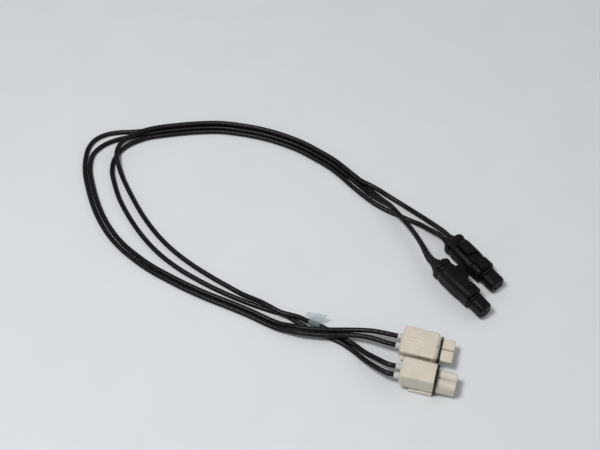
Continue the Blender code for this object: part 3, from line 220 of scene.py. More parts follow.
NEAR_FLAT_WIRE_END = (
    (-149.2, 109.4, 0.0), (-154.2, 107.4, 0.0), (-159.0, 104.6, 0.0), (-162.8, 101.0, 0.0),
    (-165.4, 96.6, 0.0), (-166.6, 92.0, 0.0), (-166.5, 85.8, 0.0), (-165.2, 80.6, 0.0),
    (-161.3, 69.2, 0.0), (-154.8, 56.6, 0.0), (-146.5, 44.2, 0.0), (-138.1, 34.6, 0.0),
    (-128.6, 26.4, 0.0), (-117.5, 18.9, 0.0), (-105.2, 11.9, 0.0), (-98.0, 8.4, 0.0), (-92.2, 5.8, 0.0),
    (-87.2, 3.8, 0.0), (-82.7, 2.1, 0.0), (-78.8, 0.8, 0.0), (-75.2, -0.9, 0.0), (-72.2, -3.0, 0.0),
    (-69.2, -5.2, 0.0), (-65.7, -7.5, 0.0), (-60.2, -10.5, 0.0), (-53.2, -13.5, 0.0),
    (-48.6, -16.4, 0.0), (-44.3, -20.2, 0.4), (-41.2, -24.0, 1.8), (-37.7, -28.2, 4.0),
)

# Marker flag
FLAG_LENGTH = 5.4
FLAG_RISE = 35.0
FLAG_REAR_BASE = 5.6
FLAG_FRONT_BASE = 2.9
FLAG_REAR_TIP = 4.6
FLAG_FRONT_TIP = 4.8
FLAG_REAR_REACH = 4.0
FLAG_FRONT_REACH = 6.1
FLAG_SPOT = (-62.2, -5.9)
FLAG_LOOP_RADIUS = 1.5
FLAG_FILM = 0.14


def unit(vectors):
    """Vectors divided by their lengths."""
    return vectors / np.linalg.norm(vectors, axis=-1, keepdims=True)


def plug_spot(place, yaw, along, across):
    """Table position of a point given along and across a plug."""
    turn = math.radians(yaw)
    x = place[0] + along * math.cos(turn) - across * math.sin(turn)
    y = place[1] + along * math.sin(turn) + across * math.cos(turn)
    return x, y


def way_out(place, yaw, along, across, height):
    """First two route points of a wire: its end at a plug and a point straight out of it."""
    lift = height - WIRE_DIAMETER / 2
    end = plug_spot(place, yaw, along - GAP, across)
    clear = plug_spot(place, yaw, along - GAP - WIRE_STRAIGHT_OUT, across)
    return [(*end, lift), (*clear, lift)]


def beside(run, lanes, lift):
    """Route points beside a shared run: each point moved along the run's left normal by so many lane widths."""
    points = np.array(run)
    padded = np.vstack([points[:1], points, points[-1:]])
    step = unit(padded[2:] - padded[:-2])
    left = np.stack([-step[:, 1], step[:, 0]], axis=1)
    moved = points + left * lanes * WIRE_LANE
    return [(x, y, lift) for x, y in moved]


def smooth_line(route):
    """Centripetal spline through the route points, cut into even steps.

    Between two points the line blends three straight mixes, then two, then one, with knots spaced by the
    square root of the distance between points. Heights never go below a wire lying on the table.
    """
    points = np.array(route)
    points[:, 2] += WIRE_DIAMETER / 2
    padded = np.vstack([2 * points[0] - points[1], points, 2 * points[-1] - points[-2]])
    a, b, c, d = (padded[shift:len(padded) - 3 + shift, None, :] for shift in range(4))
    t1 = np.linalg.norm(b - a, axis=2, keepdims=True) ** 0.5
    t2 = t1 + np.linalg.norm(c - b, axis=2, keepdims=True) ** 0.5
    t3 = t2 + np.linalg.norm(d - c, axis=2, keepdims=True) ** 0.5
    t = t1 + (t2 - t1) * np.linspace(0.0, 1.0, 24, endpoint=False)[None, :, None]
    ab = a + (b - a) * t / t1
    bc = b + (c - b) * (t - t1) / (t2 - t1)
    cd = c + (d - c) * (t - t2) / (t3 - t2)
    abc = ab + (bc - ab) * t / t2
    bcd = bc + (cd - bc) * (t - t1) / (t3 - t1)
    fine = abc + (bcd - abc) * (t - t1) / (t2 - t1)
    fine = np.vstack([fine.reshape(-1, 3), points[-1:]])
    gone = np.concatenate([[0.0], np.cumsum(np.linalg.norm(np.diff(fine, axis=0), axis=1))])
    wanted = np.linspace(0.0, gone[-1], round(gone[-1] / WIRE_STEP) + 1)
    line = np.stack([np.interp(wanted, gone, fine[:, axis]) for axis in range(3)], axis=1)
    line[:, 2] = np.maximum(line[:, 2], WIRE_DIAMETER / 2)
    return line, gone[-1]


def put_mesh(name, points, faces, sharp=None):
    """Object at the origin from points in millimetres and faces, smooth except at edges sharper than given."""
    mesh = bpy.data.meshes.new(name)
    mesh.from_pydata(points * MM, [], faces)
    mesh.shade_smooth()
    if sharp is not None:
        mesh.set_sharp_from_angle(angle=math.radians(sharp))
    made = bpy.data.objects.new(name, mesh)
    bpy.context.collection.objects.link(made)
    return made


def ring_faces(count, sides):
    """Quads between neighbouring rings of points, then one face over each end ring."""
    index = np.arange(count * sides).reshape(count, sides)
    ahead = np.roll(index, -1, axis=1)
    quads = np.stack([index[:-1], ahead[:-1], ahead[1:], index[1:]], axis=2).reshape(-1, 4)
    return quads.tolist() + [index[0, ::-1].tolist(), index[-1].tolist()]


def add_wrap_map(made, count, sides, gone):
    """UV map of a tube: turns round it across, metres along it upwards."""
    row, column = np.meshgrid(np.arange(count - 1), np.arange(sides), indexing="ij")
    across = np.stack([column, column + 1, column + 1, column], axis=2) / sides
    along = np.stack([gone[row], gone[row], gone[row + 1], gone[row + 1]], axis=2)
    corners = np.stack([across, along], axis=3).reshape(-1, 2)
    ends = np.zeros((2 * sides, 2))
    layer = made.data.uv_layers.new(name="wrap")
    layer.data.foreach_set("uv", np.vstack([corners, ends]).ravel())


def wire_tube(name, line):
    """Round tube: a circle carried along the line, square to it, its zero angle kept level with the table."""
    ahead = unit(np.gradient(line, axis=0))
    side = unit(np.cross((0.0, 0.0, 1.0), ahead))
    up = np.cross(ahead, side)
    turn = np.linspace(0.0, 2 * math.pi, WIRE_SIDES, endpoint=False)[None, :, None]
    rings = line[:, None] + WIRE_DIAMETER / 2 * (np.cos(turn) * side[:, None] + np.sin(turn) * up[:, None])
    made = put_mesh(name, rings.reshape(-1, 3), ring_faces(len(line), WIRE_SIDES), 60.0)
    add_wrap_map(made, len(line), WIRE_SIDES, np.arange(len(line)) * WIRE_STEP * MM)
    return made


def wire_routes():
    """Route points of the four wires, each from its black plug to its pale one."""
    wide_far = way_out(WIDE_PLACE, WIDE_YAW, WIDE_EXIT, WIDE_POLE_HALF, WIDE_POLE_HEIGHT)
    wide_near = way_out(WIDE_PLACE, WIDE_YAW, WIDE_EXIT, -WIDE_POLE_HALF, WIDE_POLE_HEIGHT)
    slim_far = way_out(SLIM_PLACE, SLIM_YAW, SLIM_EXIT, SLIM_POLE_HALF, SLIM_POLE_HEIGHT)
    slim_near = way_out(SLIM_PLACE, SLIM_YAW, SLIM_EXIT, -SLIM_POLE_HALF, SLIM_POLE_HEIGHT)
    lower = way_out(EDGE_PLACE, EDGE_YAW, BLACK_EXIT, EDGE_POLE_SHIFT, EDGE_HEIGHT - BLACK_POLE_HALF)
    lower += [*LOWER_EDGE_WIRE_START, *beside(LOOP_RUN, -1.0, 0.0), *LOWER_EDGE_WIRE_TURN]
    lower += [*beside(OUTER_RUN, -0.5, 0.0), *LOWER_EDGE_WIRE_END, *wide_near[::-1]]
    upper = way_out(EDGE_PLACE, EDGE_YAW, BLACK_EXIT, EDGE_POLE_SHIFT, EDGE_HEIGHT + BLACK_POLE_HALF)
    upper += [*UPPER_EDGE_WIRE_START, *beside(LOOP_RUN, 0.0, 0.0), *UPPER_EDGE_WIRE_TURN]
    upper += [*beside(OUTER_RUN, 0.5, 0.0), *UPPER_EDGE_WIRE_END, *wide_far[::-1]]
    near = way_out(FLAT_PLACE, FLAT_YAW, BLACK_EXIT, -BLACK_POLE_HALF, FLAT_HEIGHT)
    near += [*NEAR_FLAT_WIRE_START, *beside(LOOP_RUN, 1.0, 0.0)[1:], *NEAR_FLAT_WIRE_END, *slim_near[::-1]]
    far = way_out(FLAT_PLACE, FLAT_YAW, BLACK_EXIT, BLACK_POLE_HALF, FLAT_HEIGHT)
    far += [*FAR_FLAT_WIRE_START, *beside(LOOP_RUN, -0.5, WIRE_LAYER), *FAR_FLAT_WIRE_END, *slim_far[::-1]]
    return {"lead1_wire_lower": lower, "lead1_wire_upper": upper, "lead2_wire_near": near, "lead2_wire_far": far}


def flag_film(line):
    """Film folded round a wire: a loop round it whose two ends meet in a leaning fin.

    The section runs down one leaf of the fin, once round the loop and up the other leaf. On a leaf the film runs
    straight from the base edge to the outer edge, and each edge runs straight between two corners of the fin.
    """
    nearest = int(np.argmin(np.linalg.norm(line[:, :2] - FLAG_SPOT, axis=1)))
    ahead = unit(line[nearest + 2] - line[nearest - 2])
    side = unit(np.cross((0.0, 0.0, 1.0), ahead))
    up = np.cross(ahead, side)
    rise = math.radians(FLAG_RISE)
    fin = side * math.cos(rise) + up * math.sin(rise)
    across_fin = up * math.cos(rise) - side * math.sin(rise)
    radius = FLAG_LOOP_RADIUS + FLAG_FILM / 2
    open_angle = math.radians(24.0)
    turn = np.linspace(open_angle, 2 * math.pi - open_angle, 40)
    leaf = np.linspace(1.0, 0.0, 14)
    gap = np.full(14, FLAG_FILM * 0.7)
    out = np.concatenate([leaf, np.zeros(40), leaf[::-1]])
    on_leaf = np.concatenate([np.ones(14), np.zeros(40), np.ones(14)]) > 0.5
    round_out = np.concatenate([np.zeros(14), radius * np.cos(turn), np.zeros(14)])
    round_up = np.concatenate([gap, radius * np.sin(turn), -gap])
    step = np.linspace(0.0, 1.0, 21)[:, None]
    base = (FLAG_REAR_BASE + FLAG_FRONT_BASE) * step - FLAG_REAR_BASE
    edge = (FLAG_REAR_TIP + FLAG_FRONT_TIP) * step - FLAG_REAR_TIP
    reach = FLAG_REAR_REACH + (FLAG_FRONT_REACH - FLAG_REAR_REACH) * step
    root = radius + 0.2
    along = np.where(on_leaf, base + (edge - base) * out, FLAG_LENGTH * (step - 0.5))
    outward = np.where(on_leaf, root + (reach - root) * out, round_out)
    upward = round_up + 0.2 * out ** 2 * np.sin(along * 0.9)
    rings = line[nearest] + along[..., None] * ahead + outward[..., None] * fin + upward[..., None] * across_fin
    index = np.arange(rings.shape[0] * rings.shape[1]).reshape(rings.shape[:2])
    quads = np.stack([index[:-1, :-1], index[:-1, 1:], index[1:, 1:], index[1:, :-1]], axis=2).reshape(-1, 4)
    made = put_mesh("marker_flag_film", rings.reshape(-1, 3), quads.tolist())
    solid = made.modifiers.new("film", "SOLIDIFY")
    solid.thickness = FLAG_FILM * MM
    solid.offset = 0.0
    return made


def section_ring(top_points, side_points, bottom_points, corner_points=7):
    """Round-cornered rectangle as two factors for each point, anticlockwise seen from the nose.

    The first says where the corner circle's centre stands, from -1 to 1 across and up; the second is the way
    from that centre to the point, on a unit circle. Along a flat the centre slides and the way stays.
    """
    turn = np.linspace(0.0, math.pi / 2, corner_points)
    centres = []
    ways = []
    flats = ((top_points, (1, 1), (-1, 1)), (side_points, (-1, 1), (-1, -1)))
    flats += ((bottom_points, (-1, -1), (1, -1)), (side_points, (1, -1), (1, 1)))
    for quarter, (count, first, last) in enumerate(flats):
        bend = turn + quarter * math.pi / 2
        centres.append(np.tile(np.array(first, float), (corner_points, 1)))
        ways.append(np.stack([np.cos(bend), np.sin(bend)], axis=1))
        slide = np.linspace(0.0, 1.0, count + 2)[1:-1, None]
        centres.append(np.array(first) * (1 - slide) + np.array(last) * slide)
        ways.append(np.tile(ways[-1][-1], (count, 1)))
    return np.vstack(centres), np.vstack(ways)


def loft(keys, step, soft, ring):
    """Shell along a plug from key sections (along, width, bottom, top, corner).

    Each size at a station is the mean of the key sizes over a stretch as long as soft, so every step is rounded.
    The section there is the rounded rectangle of those sizes. Gives stations by points by (along, across, height).
    """
    keys = np.array(keys)
    along = np.linspace(keys[0, 0], keys[-1, 0], round((keys[-1, 0] - keys[0, 0]) / step) + 1)
    sizes = np.zeros((4, len(along)))
    for offset in np.linspace(-soft / 2, soft / 2, 7):
        sizes += np.stack([np.interp(along + offset, keys[:, 0], keys[:, column]) for column in range(1, 5)]) / 7
    width, bottom, top, corner = sizes
    half = np.stack([width / 2, (top - bottom) / 2], axis=1)
    corner = np.minimum(corner, half.min(axis=1) - 0.02)[:, None]
    middle = np.stack([np.zeros_like(top), (top + bottom) / 2], axis=1)
    centres, ways = ring
    flat = middle[:, None] + centres[None] * (half - corner)[:, None] + ways[None] * corner[:, None]
    return np.concatenate([np.broadcast_to(along[:, None, None], (*flat.shape[:2], 1)), flat], axis=2)


def inside(values, low, high, edge=0.12):
    """One between low and high, zero outside, with slopes as wide as edge."""
    return np.clip((values - low) / edge, 0.0, 1.0) * np.clip((high - values) / edge, 0.0, 1.0)


def stand(points, plug):
    """Points of a plug (along, across, height) where that plug lies on the table."""
    place, yaw, height, roll = plug
    turn = math.radians(yaw)
    lean = math.radians(roll)
    ahead = np.array((math.cos(turn), math.sin(turn), 0.0))
    left = np.array((-math.sin(turn), math.cos(turn), 0.0))
    up = np.array((0.0, 0.0, 1.0))
    across = left * math.cos(lean) + up * math.sin(lean)
    raised = up * math.cos(lean) - left * math.sin(lean)
    return np.array((*place, height)) + points[..., :1] * ahead + points[..., 1:2] * across + points[..., 2:] * raised


def put_shell(name, points, plug, sharp=38.0):
    """Closed shell object from stations of ring points."""
    faces = ring_faces(points.shape[0], points.shape[1])
    return put_mesh(name, stand(points, plug).reshape(-1, 3), faces, sharp)


def rods(plug, spots, radius, first, last):
    """Round rods along a plug, for cutting holes: a circle carried from first to last at each spot."""
    turn = np.linspace(0.0, 2 * math.pi, 28, endpoint=False)
    made = []
    for across, height in spots:
        ring = np.stack([across + radius * np.cos(turn), height + radius * np.sin(turn)], axis=1)
        ends = [np.column_stack([np.full(28, along), ring]) for along in (first, last)]
        made.append(put_shell("hole", np.stack(ends), plug))
    return made


def cut_holes(piece, tools):
    """Cuts the tools out of a piece and takes them away."""
    for tool in tools:
        cut = piece.modifiers.new("hole", "BOOLEAN")
        cut.object = tool
        cut.solver = "EXACT"
    graph = bpy.context.evaluated_depsgraph_get()
    drilled = bpy.data.meshes.new_from_object(piece.evaluated_get(graph))
    piece.modifiers.clear()
    piece.data = drilled
    for tool in tools:
        bpy.data.objects.remove(tool, do_unlink=True)
    drilled.set_sharp_from_angle(angle=math.radians(38.0))


def finger_grooves(points, count, length, top):
    """Lowers the top by soft grooves side by side on the grip: a cosine dip across, run out at both ends."""
    along, across, height = points[..., 0], points[..., 1], points[..., 2]
    on_top = inside(height, top - 0.5, top + 1.0, 0.4)
    window = inside(along, 1.3, length, 0.5)
    lane = across / GRIP_GROOVE_PITCH + (count - 1) / 2
    off = np.abs(lane - np.clip(np.round(lane), 0, count - 1)) * GRIP_GROOVE_PITCH
    dip = 0.5 + 0.5 * np.cos(np.clip(off / GRIP_GROOVE_WIDTH, 0.0, 1.0) * math.pi)
    points[..., 2] = height - GRIP_GROOVE_DEPTH * dip * window * on_top


def wide_housing():
    """Housing of the wide pale plug: lofted sections, then grooves, a slot and side hollows pressed into them."""
    bottom = PLUG_BOTTOM
    top = bottom + WIDE_BODY_HEIGHT
    collar_end = WIDE_BODY_LENGTH + WIDE_COLLAR_LENGTH
    root_end = collar_end + FRONT_SEAL_THICKNESS + 2 * GAP
    nose_end = root_end + WIDE_NOSE_LENGTH
    nose_top = top - WIDE_NOSE_DROP
    nose_bottom = nose_top - WIDE_NOSE_HEIGHT
    bevel = GRIP_REAR_BEVEL
    root = (WIDE_NOSE_ROOT_WIDTH, nose_bottom + 0.2, nose_top - 0.2, 0.6)
    nose = (WIDE_NOSE_WIDTH, nose_bottom, nose_top, 0.7)
    keys = (
        (0.0, WIDE_WIDTH - 2 * bevel, bottom + bevel, top - bevel, HOUSING_CORNER),
        (bevel, WIDE_WIDTH + 0.2, bottom, top + 0.1, HOUSING_CORNER),
        (WIDE_GRIP_LENGTH, WIDE_WIDTH + 0.2, bottom, top + 0.1, HOUSING_CORNER),
        (WIDE_GRIP_LENGTH + 0.1, WIDE_WIDTH, bottom, top, HOUSING_CORNER),
        (WIDE_BODY_LENGTH, WIDE_WIDTH, bottom, top, HOUSING_CORNER),
        (collar_end, WIDE_COLLAR_WIDTH, bottom + 0.4, top - WIDE_COLLAR_DROP, HOUSING_CORNER),
        (collar_end + 0.02, *root),
        (root_end, *root),
        (root_end + 0.02, *nose),
        (nose_end - 0.4, *nose),
        (nose_end, WIDE_NOSE_WIDTH - 0.8, nose_bottom + 0.4, nose_top - 0.4, 0.7),
    )
    points = loft(keys, 0.14, 0.3, section_ring(110, 56, 12))
    finger_grooves(points, WIDE_GROOVE_COUNT, WIDE_GRIP_LENGTH, top + 0.1)
    along, across, height = (points[..., axis].copy() for axis in range(3))
    slot = inside(along, WIDE_BODY_LENGTH + 0.4, nose_end + 9.0, 0.2) * inside(np.abs(across), -9.0, WIDE_SLOT_WIDTH / 2)
    slot_bottom = nose_top - WIDE_SLOT_DEPTH
    above = height > slot_bottom
    points[..., 2] = np.where(above, height + (slot_bottom - height) * slot, height)
    hollow = inside(along, -9.0, WIDE_BODY_LENGTH - 1.0, 0.3)
    hollow = hollow * inside(height, bottom + WIDE_TOP_PLATE, top - WIDE_TOP_PLATE, 0.2)
    ledge = inside(along, root_end, nose_end + 9.0, 0.1) * inside(height, -9.0, nose_top - WIDE_TOP_PLATE, 0.15)
    side_wall = np.sign(across) * np.minimum(np.abs(across), WIDE_WIDTH / 2 - WIDE_SIDE_RECESS)
    nose_wall = np.sign(across) * np.minimum(np.abs(across), WIDE_NOSE_WIDTH / 2 - WIDE_NOSE_UNDERCUT)
    points[..., 1] = across + (side_wall - across) * hollow + (nose_wall - across) * ledge
    plug = WIDE_PLUG
    made = put_shell("wide_housing", points, plug)
    spots = [(side * WIDE_POLE_HALF, WIDE_POLE_HEIGHT) for side in (1, -1)]
    tools = rods(plug, spots, WIRE_SEAL_RADIUS + GAP, -1.0, WIRE_SEAL_DEPTH)
    tools += rods(plug, spots, CONTACT_HOLE_RADIUS, nose_end - 1.6, nose_end + 1.0)
    cut_holes(made, tools)
    return made


def slim_housing():
    """Housing of the slim pale plug: lofted sections, grooves on the grip, and two round-topped silos in front."""
    bottom = PLUG_BOTTOM
    top = bottom + SLIM_BODY_HEIGHT
    nose_start = SLIM_BODY_LENGTH
    nose_end = nose_start + FRONT_SEAL_THICKNESS + 2 * GAP + SLIM_NOSE_LENGTH
    nose_top = top - SLIM_NOSE_TOP_DROP
    nose_bottom = bottom + 0.1
    nose_width = SLIM_WIDTH - 2 * SLIM_NOSE_SIDE_STEP
    bevel = GRIP_REAR_BEVEL
    nose = (nose_width, nose_bottom, nose_top, 0.5)
    keys = (
        (0.0, SLIM_WIDTH - 2 * bevel, bottom + bevel, top - bevel, HOUSING_CORNER),
        (bevel, SLIM_WIDTH + 0.2, bottom, top + 0.1, HOUSING_CORNER),
        (SLIM_GRIP_LENGTH, SLIM_WIDTH + 0.2, bottom, top + 0.1, HOUSING_CORNER),
        (SLIM_GRIP_LENGTH + 0.1, SLIM_WIDTH, bottom, top, HOUSING_CORNER),
        (SLIM_BODY_LENGTH - 0.1, SLIM_WIDTH, bottom, top, HOUSING_CORNER),
        (SLIM_BODY_LENGTH, SLIM_WIDTH - 0.4, bottom + 0.2, top - 0.2, HOUSING_CORNER),
        (SLIM_BODY_LENGTH + 0.02, *nose),
        (nose_end - 0.4, *nose),
        (nose_end, nose_width - 0.8, nose_bottom + 0.4, nose_top - 0.4, 0.5),
    )
    points = loft(keys, 0.14, 0.25, section_ring(110, 24, 12))
    finger_grooves(points, SLIM_GROOVE_COUNT, SLIM_GRIP_LENGTH, top + 0.1)
    along, across, height = (points[..., axis].copy() for axis in range(3))
    lobe = nose_width / 4
    off = np.clip((np.abs(across) - lobe) / lobe, -1.0, 1.0)
    fall = lobe * (1.0 - np.sqrt(1.0 - 0.98 * off ** 2))
    on_nose = inside(along, SLIM_BODY_LENGTH + 0.1, nose_end + 9.0, 0.1)
    share = np.clip((height - (nose_bottom + 2.0)) / (nose_top - nose_bottom - 2.0), 0.0, 1.0)
    points[..., 2] = height - fall * on_nose * share
    plug = SLIM_PLUG
    made = put_shell("slim_housing", points, plug)
    spots = [(side * SLIM_POLE_HALF, SLIM_POLE_HEIGHT) for side in (1, -1)]
    tools = rods(plug, spots, WIRE_SEAL_RADIUS + GAP, -1.0, WIRE_SEAL_DEPTH)
    tools += rods(plug, spots, CONTACT_HOLE_RADIUS, nose_end - 1.6, nose_end + 1.0)
    cut_holes(made, tools)
    return made


def wire_sleeve(name, plug, across, height, reach):
    """Ribbed sleeve where a wire enters a pale plug: a wall turned about the wire, its outside waved into ribs."""
    along = np.linspace(-reach, WIRE_SEAL_DEPTH, 60)
    rib = 0.5 + 0.5 * np.cos(2 * math.pi * along / 0.8)
    taper = np.interp(along, (-reach, -reach + 0.3, -0.4, 0.0), (0.82, 0.92, 1.0, 1.0))
    outside = WIRE_SEAL_RADIUS * taper - 0.16 * rib * (along > 0.2 - reach)
    wall_along = np.concatenate([along, along[::-1]])
    wall = np.concatenate([outside, np.full(60, WIRE_SEAL_BORE)])
    turn = np.linspace(0.0, 2 * math.pi, 32, endpoint=False)[:, None]
    points = np.stack([np.broadcast_to(wall_along, (32, 120)), across + wall * np.cos(turn), height + wall * np.sin(turn)], axis=2)
    index = np.arange(32 * 120).reshape(32, 120)
    nxt = np.roll(index, -1, axis=0)
    quads = np.stack([index, nxt, np.roll(nxt, -1, axis=1), np.roll(index, -1, axis=1)], axis=2).reshape(-1, 4)
    return put_mesh(name, stand(points, plug).reshape(-1, 3), quads[:, ::-1].tolist(), 40.0)


def black_shell(name, plug):
    """Shell of a black plug: neck, waist that thins towards the front, collar, with a channel for the lever on top."""
    start = CAP_LENGTH + GAP
    neck_end = start + NECK_LENGTH
    waist_end = neck_end + WAIST_LENGTH
    end = waist_end + COLLAR_LENGTH
    belly = -CAP_BOTTOM
    neck = (CAP_WIDTH - 2 * NECK_INSET, NECK_INSET - CAP_BOTTOM, CAP_TOP - NECK_INSET, SHELL_CORNER)
    waist = (WAIST_WIDTH, belly, WAIST_TOP, SHELL_CORNER)
    collar = (COLLAR_WIDTH, -COLLAR_BOTTOM, COLLAR_TOP, SHELL_CORNER)
    keys = (
        (start, *neck),
        (neck_end, *neck),
        (neck_end + 1.0, *waist),
        (neck_end + WAIST_LENGTH * 0.7, *waist),
        (waist_end, WAIST_WIDTH, (belly - COLLAR_BOTTOM) / 2, WAIST_TOP - WAIST_DIP, SHELL_CORNER),
        (waist_end + 1.0, *collar),
        (end - 0.7, *collar),
        (end, COLLAR_WIDTH - 1.0, 0.4 - COLLAR_BOTTOM, COLLAR_TOP - 0.5, SHELL_CORNER - 0.4),
    )
    points = loft(keys, 0.16, 0.7, section_ring(64, 10, 16, 12))
    along, across, height = (points[..., axis].copy() for axis in range(3))
    channel = inside(along, LEVER_REAR_ALONG - 2 * GAP, end + 9.0, 0.2)
    channel = channel * inside(np.abs(across), -9.0, LEVER_WIDTH / 2 + GAP + 0.12)
    floor = np.where(height > LEVER_CHANNEL_FLOOR, LEVER_CHANNEL_FLOOR, height)
    points[..., 2] = height + (floor - height) * channel
    return put_shell(name, points, plug)


def black_cap(name, plug):
    """Rear cap of a black plug: swells from its rear face, then a small round at the front edge."""
    keys = []
    for along, inset, corner in ((0.0, 1.0, -0.6), (0.5, 0.45, -0.3), (1.2, 0.0, 0.0), (2.8, 0.0, 0.0), (3.2, 0.3, 0.0)):
        corner = SHELL_CORNER + corner
        keys.append((along, CAP_WIDTH - 2 * inset, inset - CAP_BOTTOM, CAP_TOP - inset, corner))
    return put_shell(name, loft(keys, 0.1, 0.4, section_ring(16, 10, 16, 12)), plug)


def black_grommet(name, plug):
    """Strain relief of a black plug: a tapering sleeve with three shallow rings."""
    drop = BLACK_POLE_DROP
    keys = []
    for along in np.linspace(0.0, GROMMET_LENGTH, 19):
        share = np.clip((along - 0.4) / (GROMMET_LENGTH - 0.4), 0.0, 1.0)
        ring = 0.14 * (0.5 - 0.5 * math.cos(2 * math.pi * along / (GROMMET_LENGTH / 3)))
        width = GROMMET_REAR_WIDTH + (GROMMET_FRONT_WIDTH - GROMMET_REAR_WIDTH) * share - 2 * ring
        thick = GROMMET_REAR_THICKNESS + (GROMMET_FRONT_THICKNESS - GROMMET_REAR_THICKNESS) * share - 2 * ring
        keys.append((along - GROMMET_LENGTH - GAP, width, -thick / 2 - drop, thick / 2 - drop, 1.6 + 0.8 * share))
    made = put_shell(name, loft(keys, 0.08, 0.1, section_ring(10, 6, 10, 10)), plug)
    return made


def black_nose(name, plug):
    """Nose of a black plug: a thin root behind a round-edged block, with two contact holes in its front."""
    start = CAP_LENGTH + GAP + NECK_LENGTH + WAIST_LENGTH + COLLAR_LENGTH + GAP
    root_end = start + NOSE_ROOT_LENGTH
    end = start + NOSE_LENGTH
    root = (NOSE_ROOT_WIDTH, -NOSE_ROOT_THICKNESS / 2, NOSE_ROOT_THICKNESS / 2, 2.0)
    keys = [(start, *root), (root_end, *root)]
    for along, inset, corner in ((root_end + 0.02, 0.0, 2.6), (end - 1.3, 0.0, 2.6), (end - 0.5, 0.25, 2.4), (end, 0.8, 1.9)):
        keys.append((along, NOSE_WIDTH - 2 * inset, inset - NOSE_THICKNESS / 2, NOSE_THICKNESS / 2 - inset, corner))
    made = put_shell(name, loft(keys, 0.12, 0.4, section_ring(16, 12, 16, 12)), plug)
    spots = [(side * BLACK_POLE_HALF, -BLACK_POLE_DROP) for side in (1, -1)]
    cut_holes(made, rods(plug, spots, CONTACT_PIN_RADIUS + GAP, end - 3.0, end + 1.0))
    return made


def soft_edged(name, node, width):
    """Copy of a carried-over solid with its corners joined, its flat faces made whole and its edges rounded."""
    work = bmesh.new()
    work.from_mesh(node.data)
    bmesh.ops.remove_doubles(work, verts=work.verts, dist=0.000002)
    bmesh.ops.dissolve_limit(work, angle_limit=math.radians(1.0), verts=work.verts, edges=work.edges)
    sharp = [edge for edge in work.edges if edge.calc_face_angle(0.0) > math.radians(35.0)]
    bmesh.ops.bevel(
        work, geom=sharp, offset=width * MM, offset_type="OFFSET", segments=3, profile=0.5, affect="EDGES",
        clamp_overlap=True,
    )
    mesh = bpy.data.meshes.new(name)
    work.to_mesh(mesh)
    work.free()
    mesh.shade_smooth()
    mesh.set_sharp_from_angle(angle=math.radians(38.0))
    made = bpy.data.objects.new(name, mesh)
    bpy.context.collection.objects.link(made)
    return made


def start_material(name, roughness, metallic=0.0):
    """Material with one Principled shader; gives back the material, its shader and object coordinates."""
    made = bpy.data.materials.new(name)
    made.use_nodes = True
    shader = made.node_tree.nodes["Principled BSDF"]
    shader.inputs["Roughness"].default_value = roughness
    shader.inputs["Metallic"].default_value = metallic
    coords = made.node_tree.nodes.new("ShaderNodeTexCoord")
    return made, shader, coords


def speckle(material, coords, size, detail=3.0):
    """Noise whose lumps are about that many metres across."""
    noise = material.node_tree.nodes.new("ShaderNodeTexNoise")
    noise.inputs["Scale"].default_value = 1.0 / size
    noise.inputs["Detail"].default_value = detail
    material.node_tree.links.new(coords, noise.inputs["Vector"])
    return noise.outputs["Fac"]


def two_tones(material, factor, first, second, low=0.3, high=0.7):
    """Colour that runs from the first to the second tone as the factor goes from low to high."""
    ramp = material.node_tree.nodes.new("ShaderNodeValToRGB")
    ramp.color_ramp.elements[0].position = low
    ramp.color_ramp.elements[0].color = (*first, 1.0)
    ramp.color_ramp.elements[1].position = high
    ramp.color_ramp.elements[1].color = (*second, 1.0)
    material.node_tree.links.new(factor, ramp.inputs["Fac"])
    return ramp.outputs["Color"]


def spread(material, factor, low, high):
    """Number that runs from low to high as the factor goes from 0.3 to 0.7."""
    reach = material.node_tree.nodes.new("ShaderNodeMapRange")
    reach.inputs["From Min"].default_value = 0.3
    reach.inputs["From Max"].default_value = 0.7
    reach.inputs["To Min"].default_value = low
    reach.inputs["To Max"].default_value = high
    material.node_tree.links.new(factor, reach.inputs["Value"])
    return reach.outputs["Result"]


def relief(material, shader, height, depth, strength=1.0):
    """Bump that raises the surface by up to the depth, in metres."""
    bump = material.node_tree.nodes.new("ShaderNodeBump")
    bump.inputs["Distance"].default_value = depth
    bump.inputs["Strength"].default_value = strength
    material.node_tree.links.new(height, bump.inputs["Height"])
    material.node_tree.links.new(bump.outputs["Normal"], shader.inputs["Normal"])


def moulded(name, first, second, smooth, rough, grain, depth, mirror=0.5):
    """Moulded plastic or rubber: soft clouds of two tones, fine grain, gloss that varies with the clouds."""
    material, shader, coords = start_material(name, rough)
    shader.inputs["Specular IOR Level"].default_value = mirror
    place = coords.outputs["Object"]
    links = material.node_tree.links
    clouds = speckle(material, place, 0.006, 4.0)
    links.new(two_tones(material, clouds, first, second), shader.inputs["Base Color"])
    links.new(spread(material, clouds, smooth, rough), shader.inputs["Roughness"])
    relief(material, shader, speckle(material, place, grain, 2.0), depth)
    return material


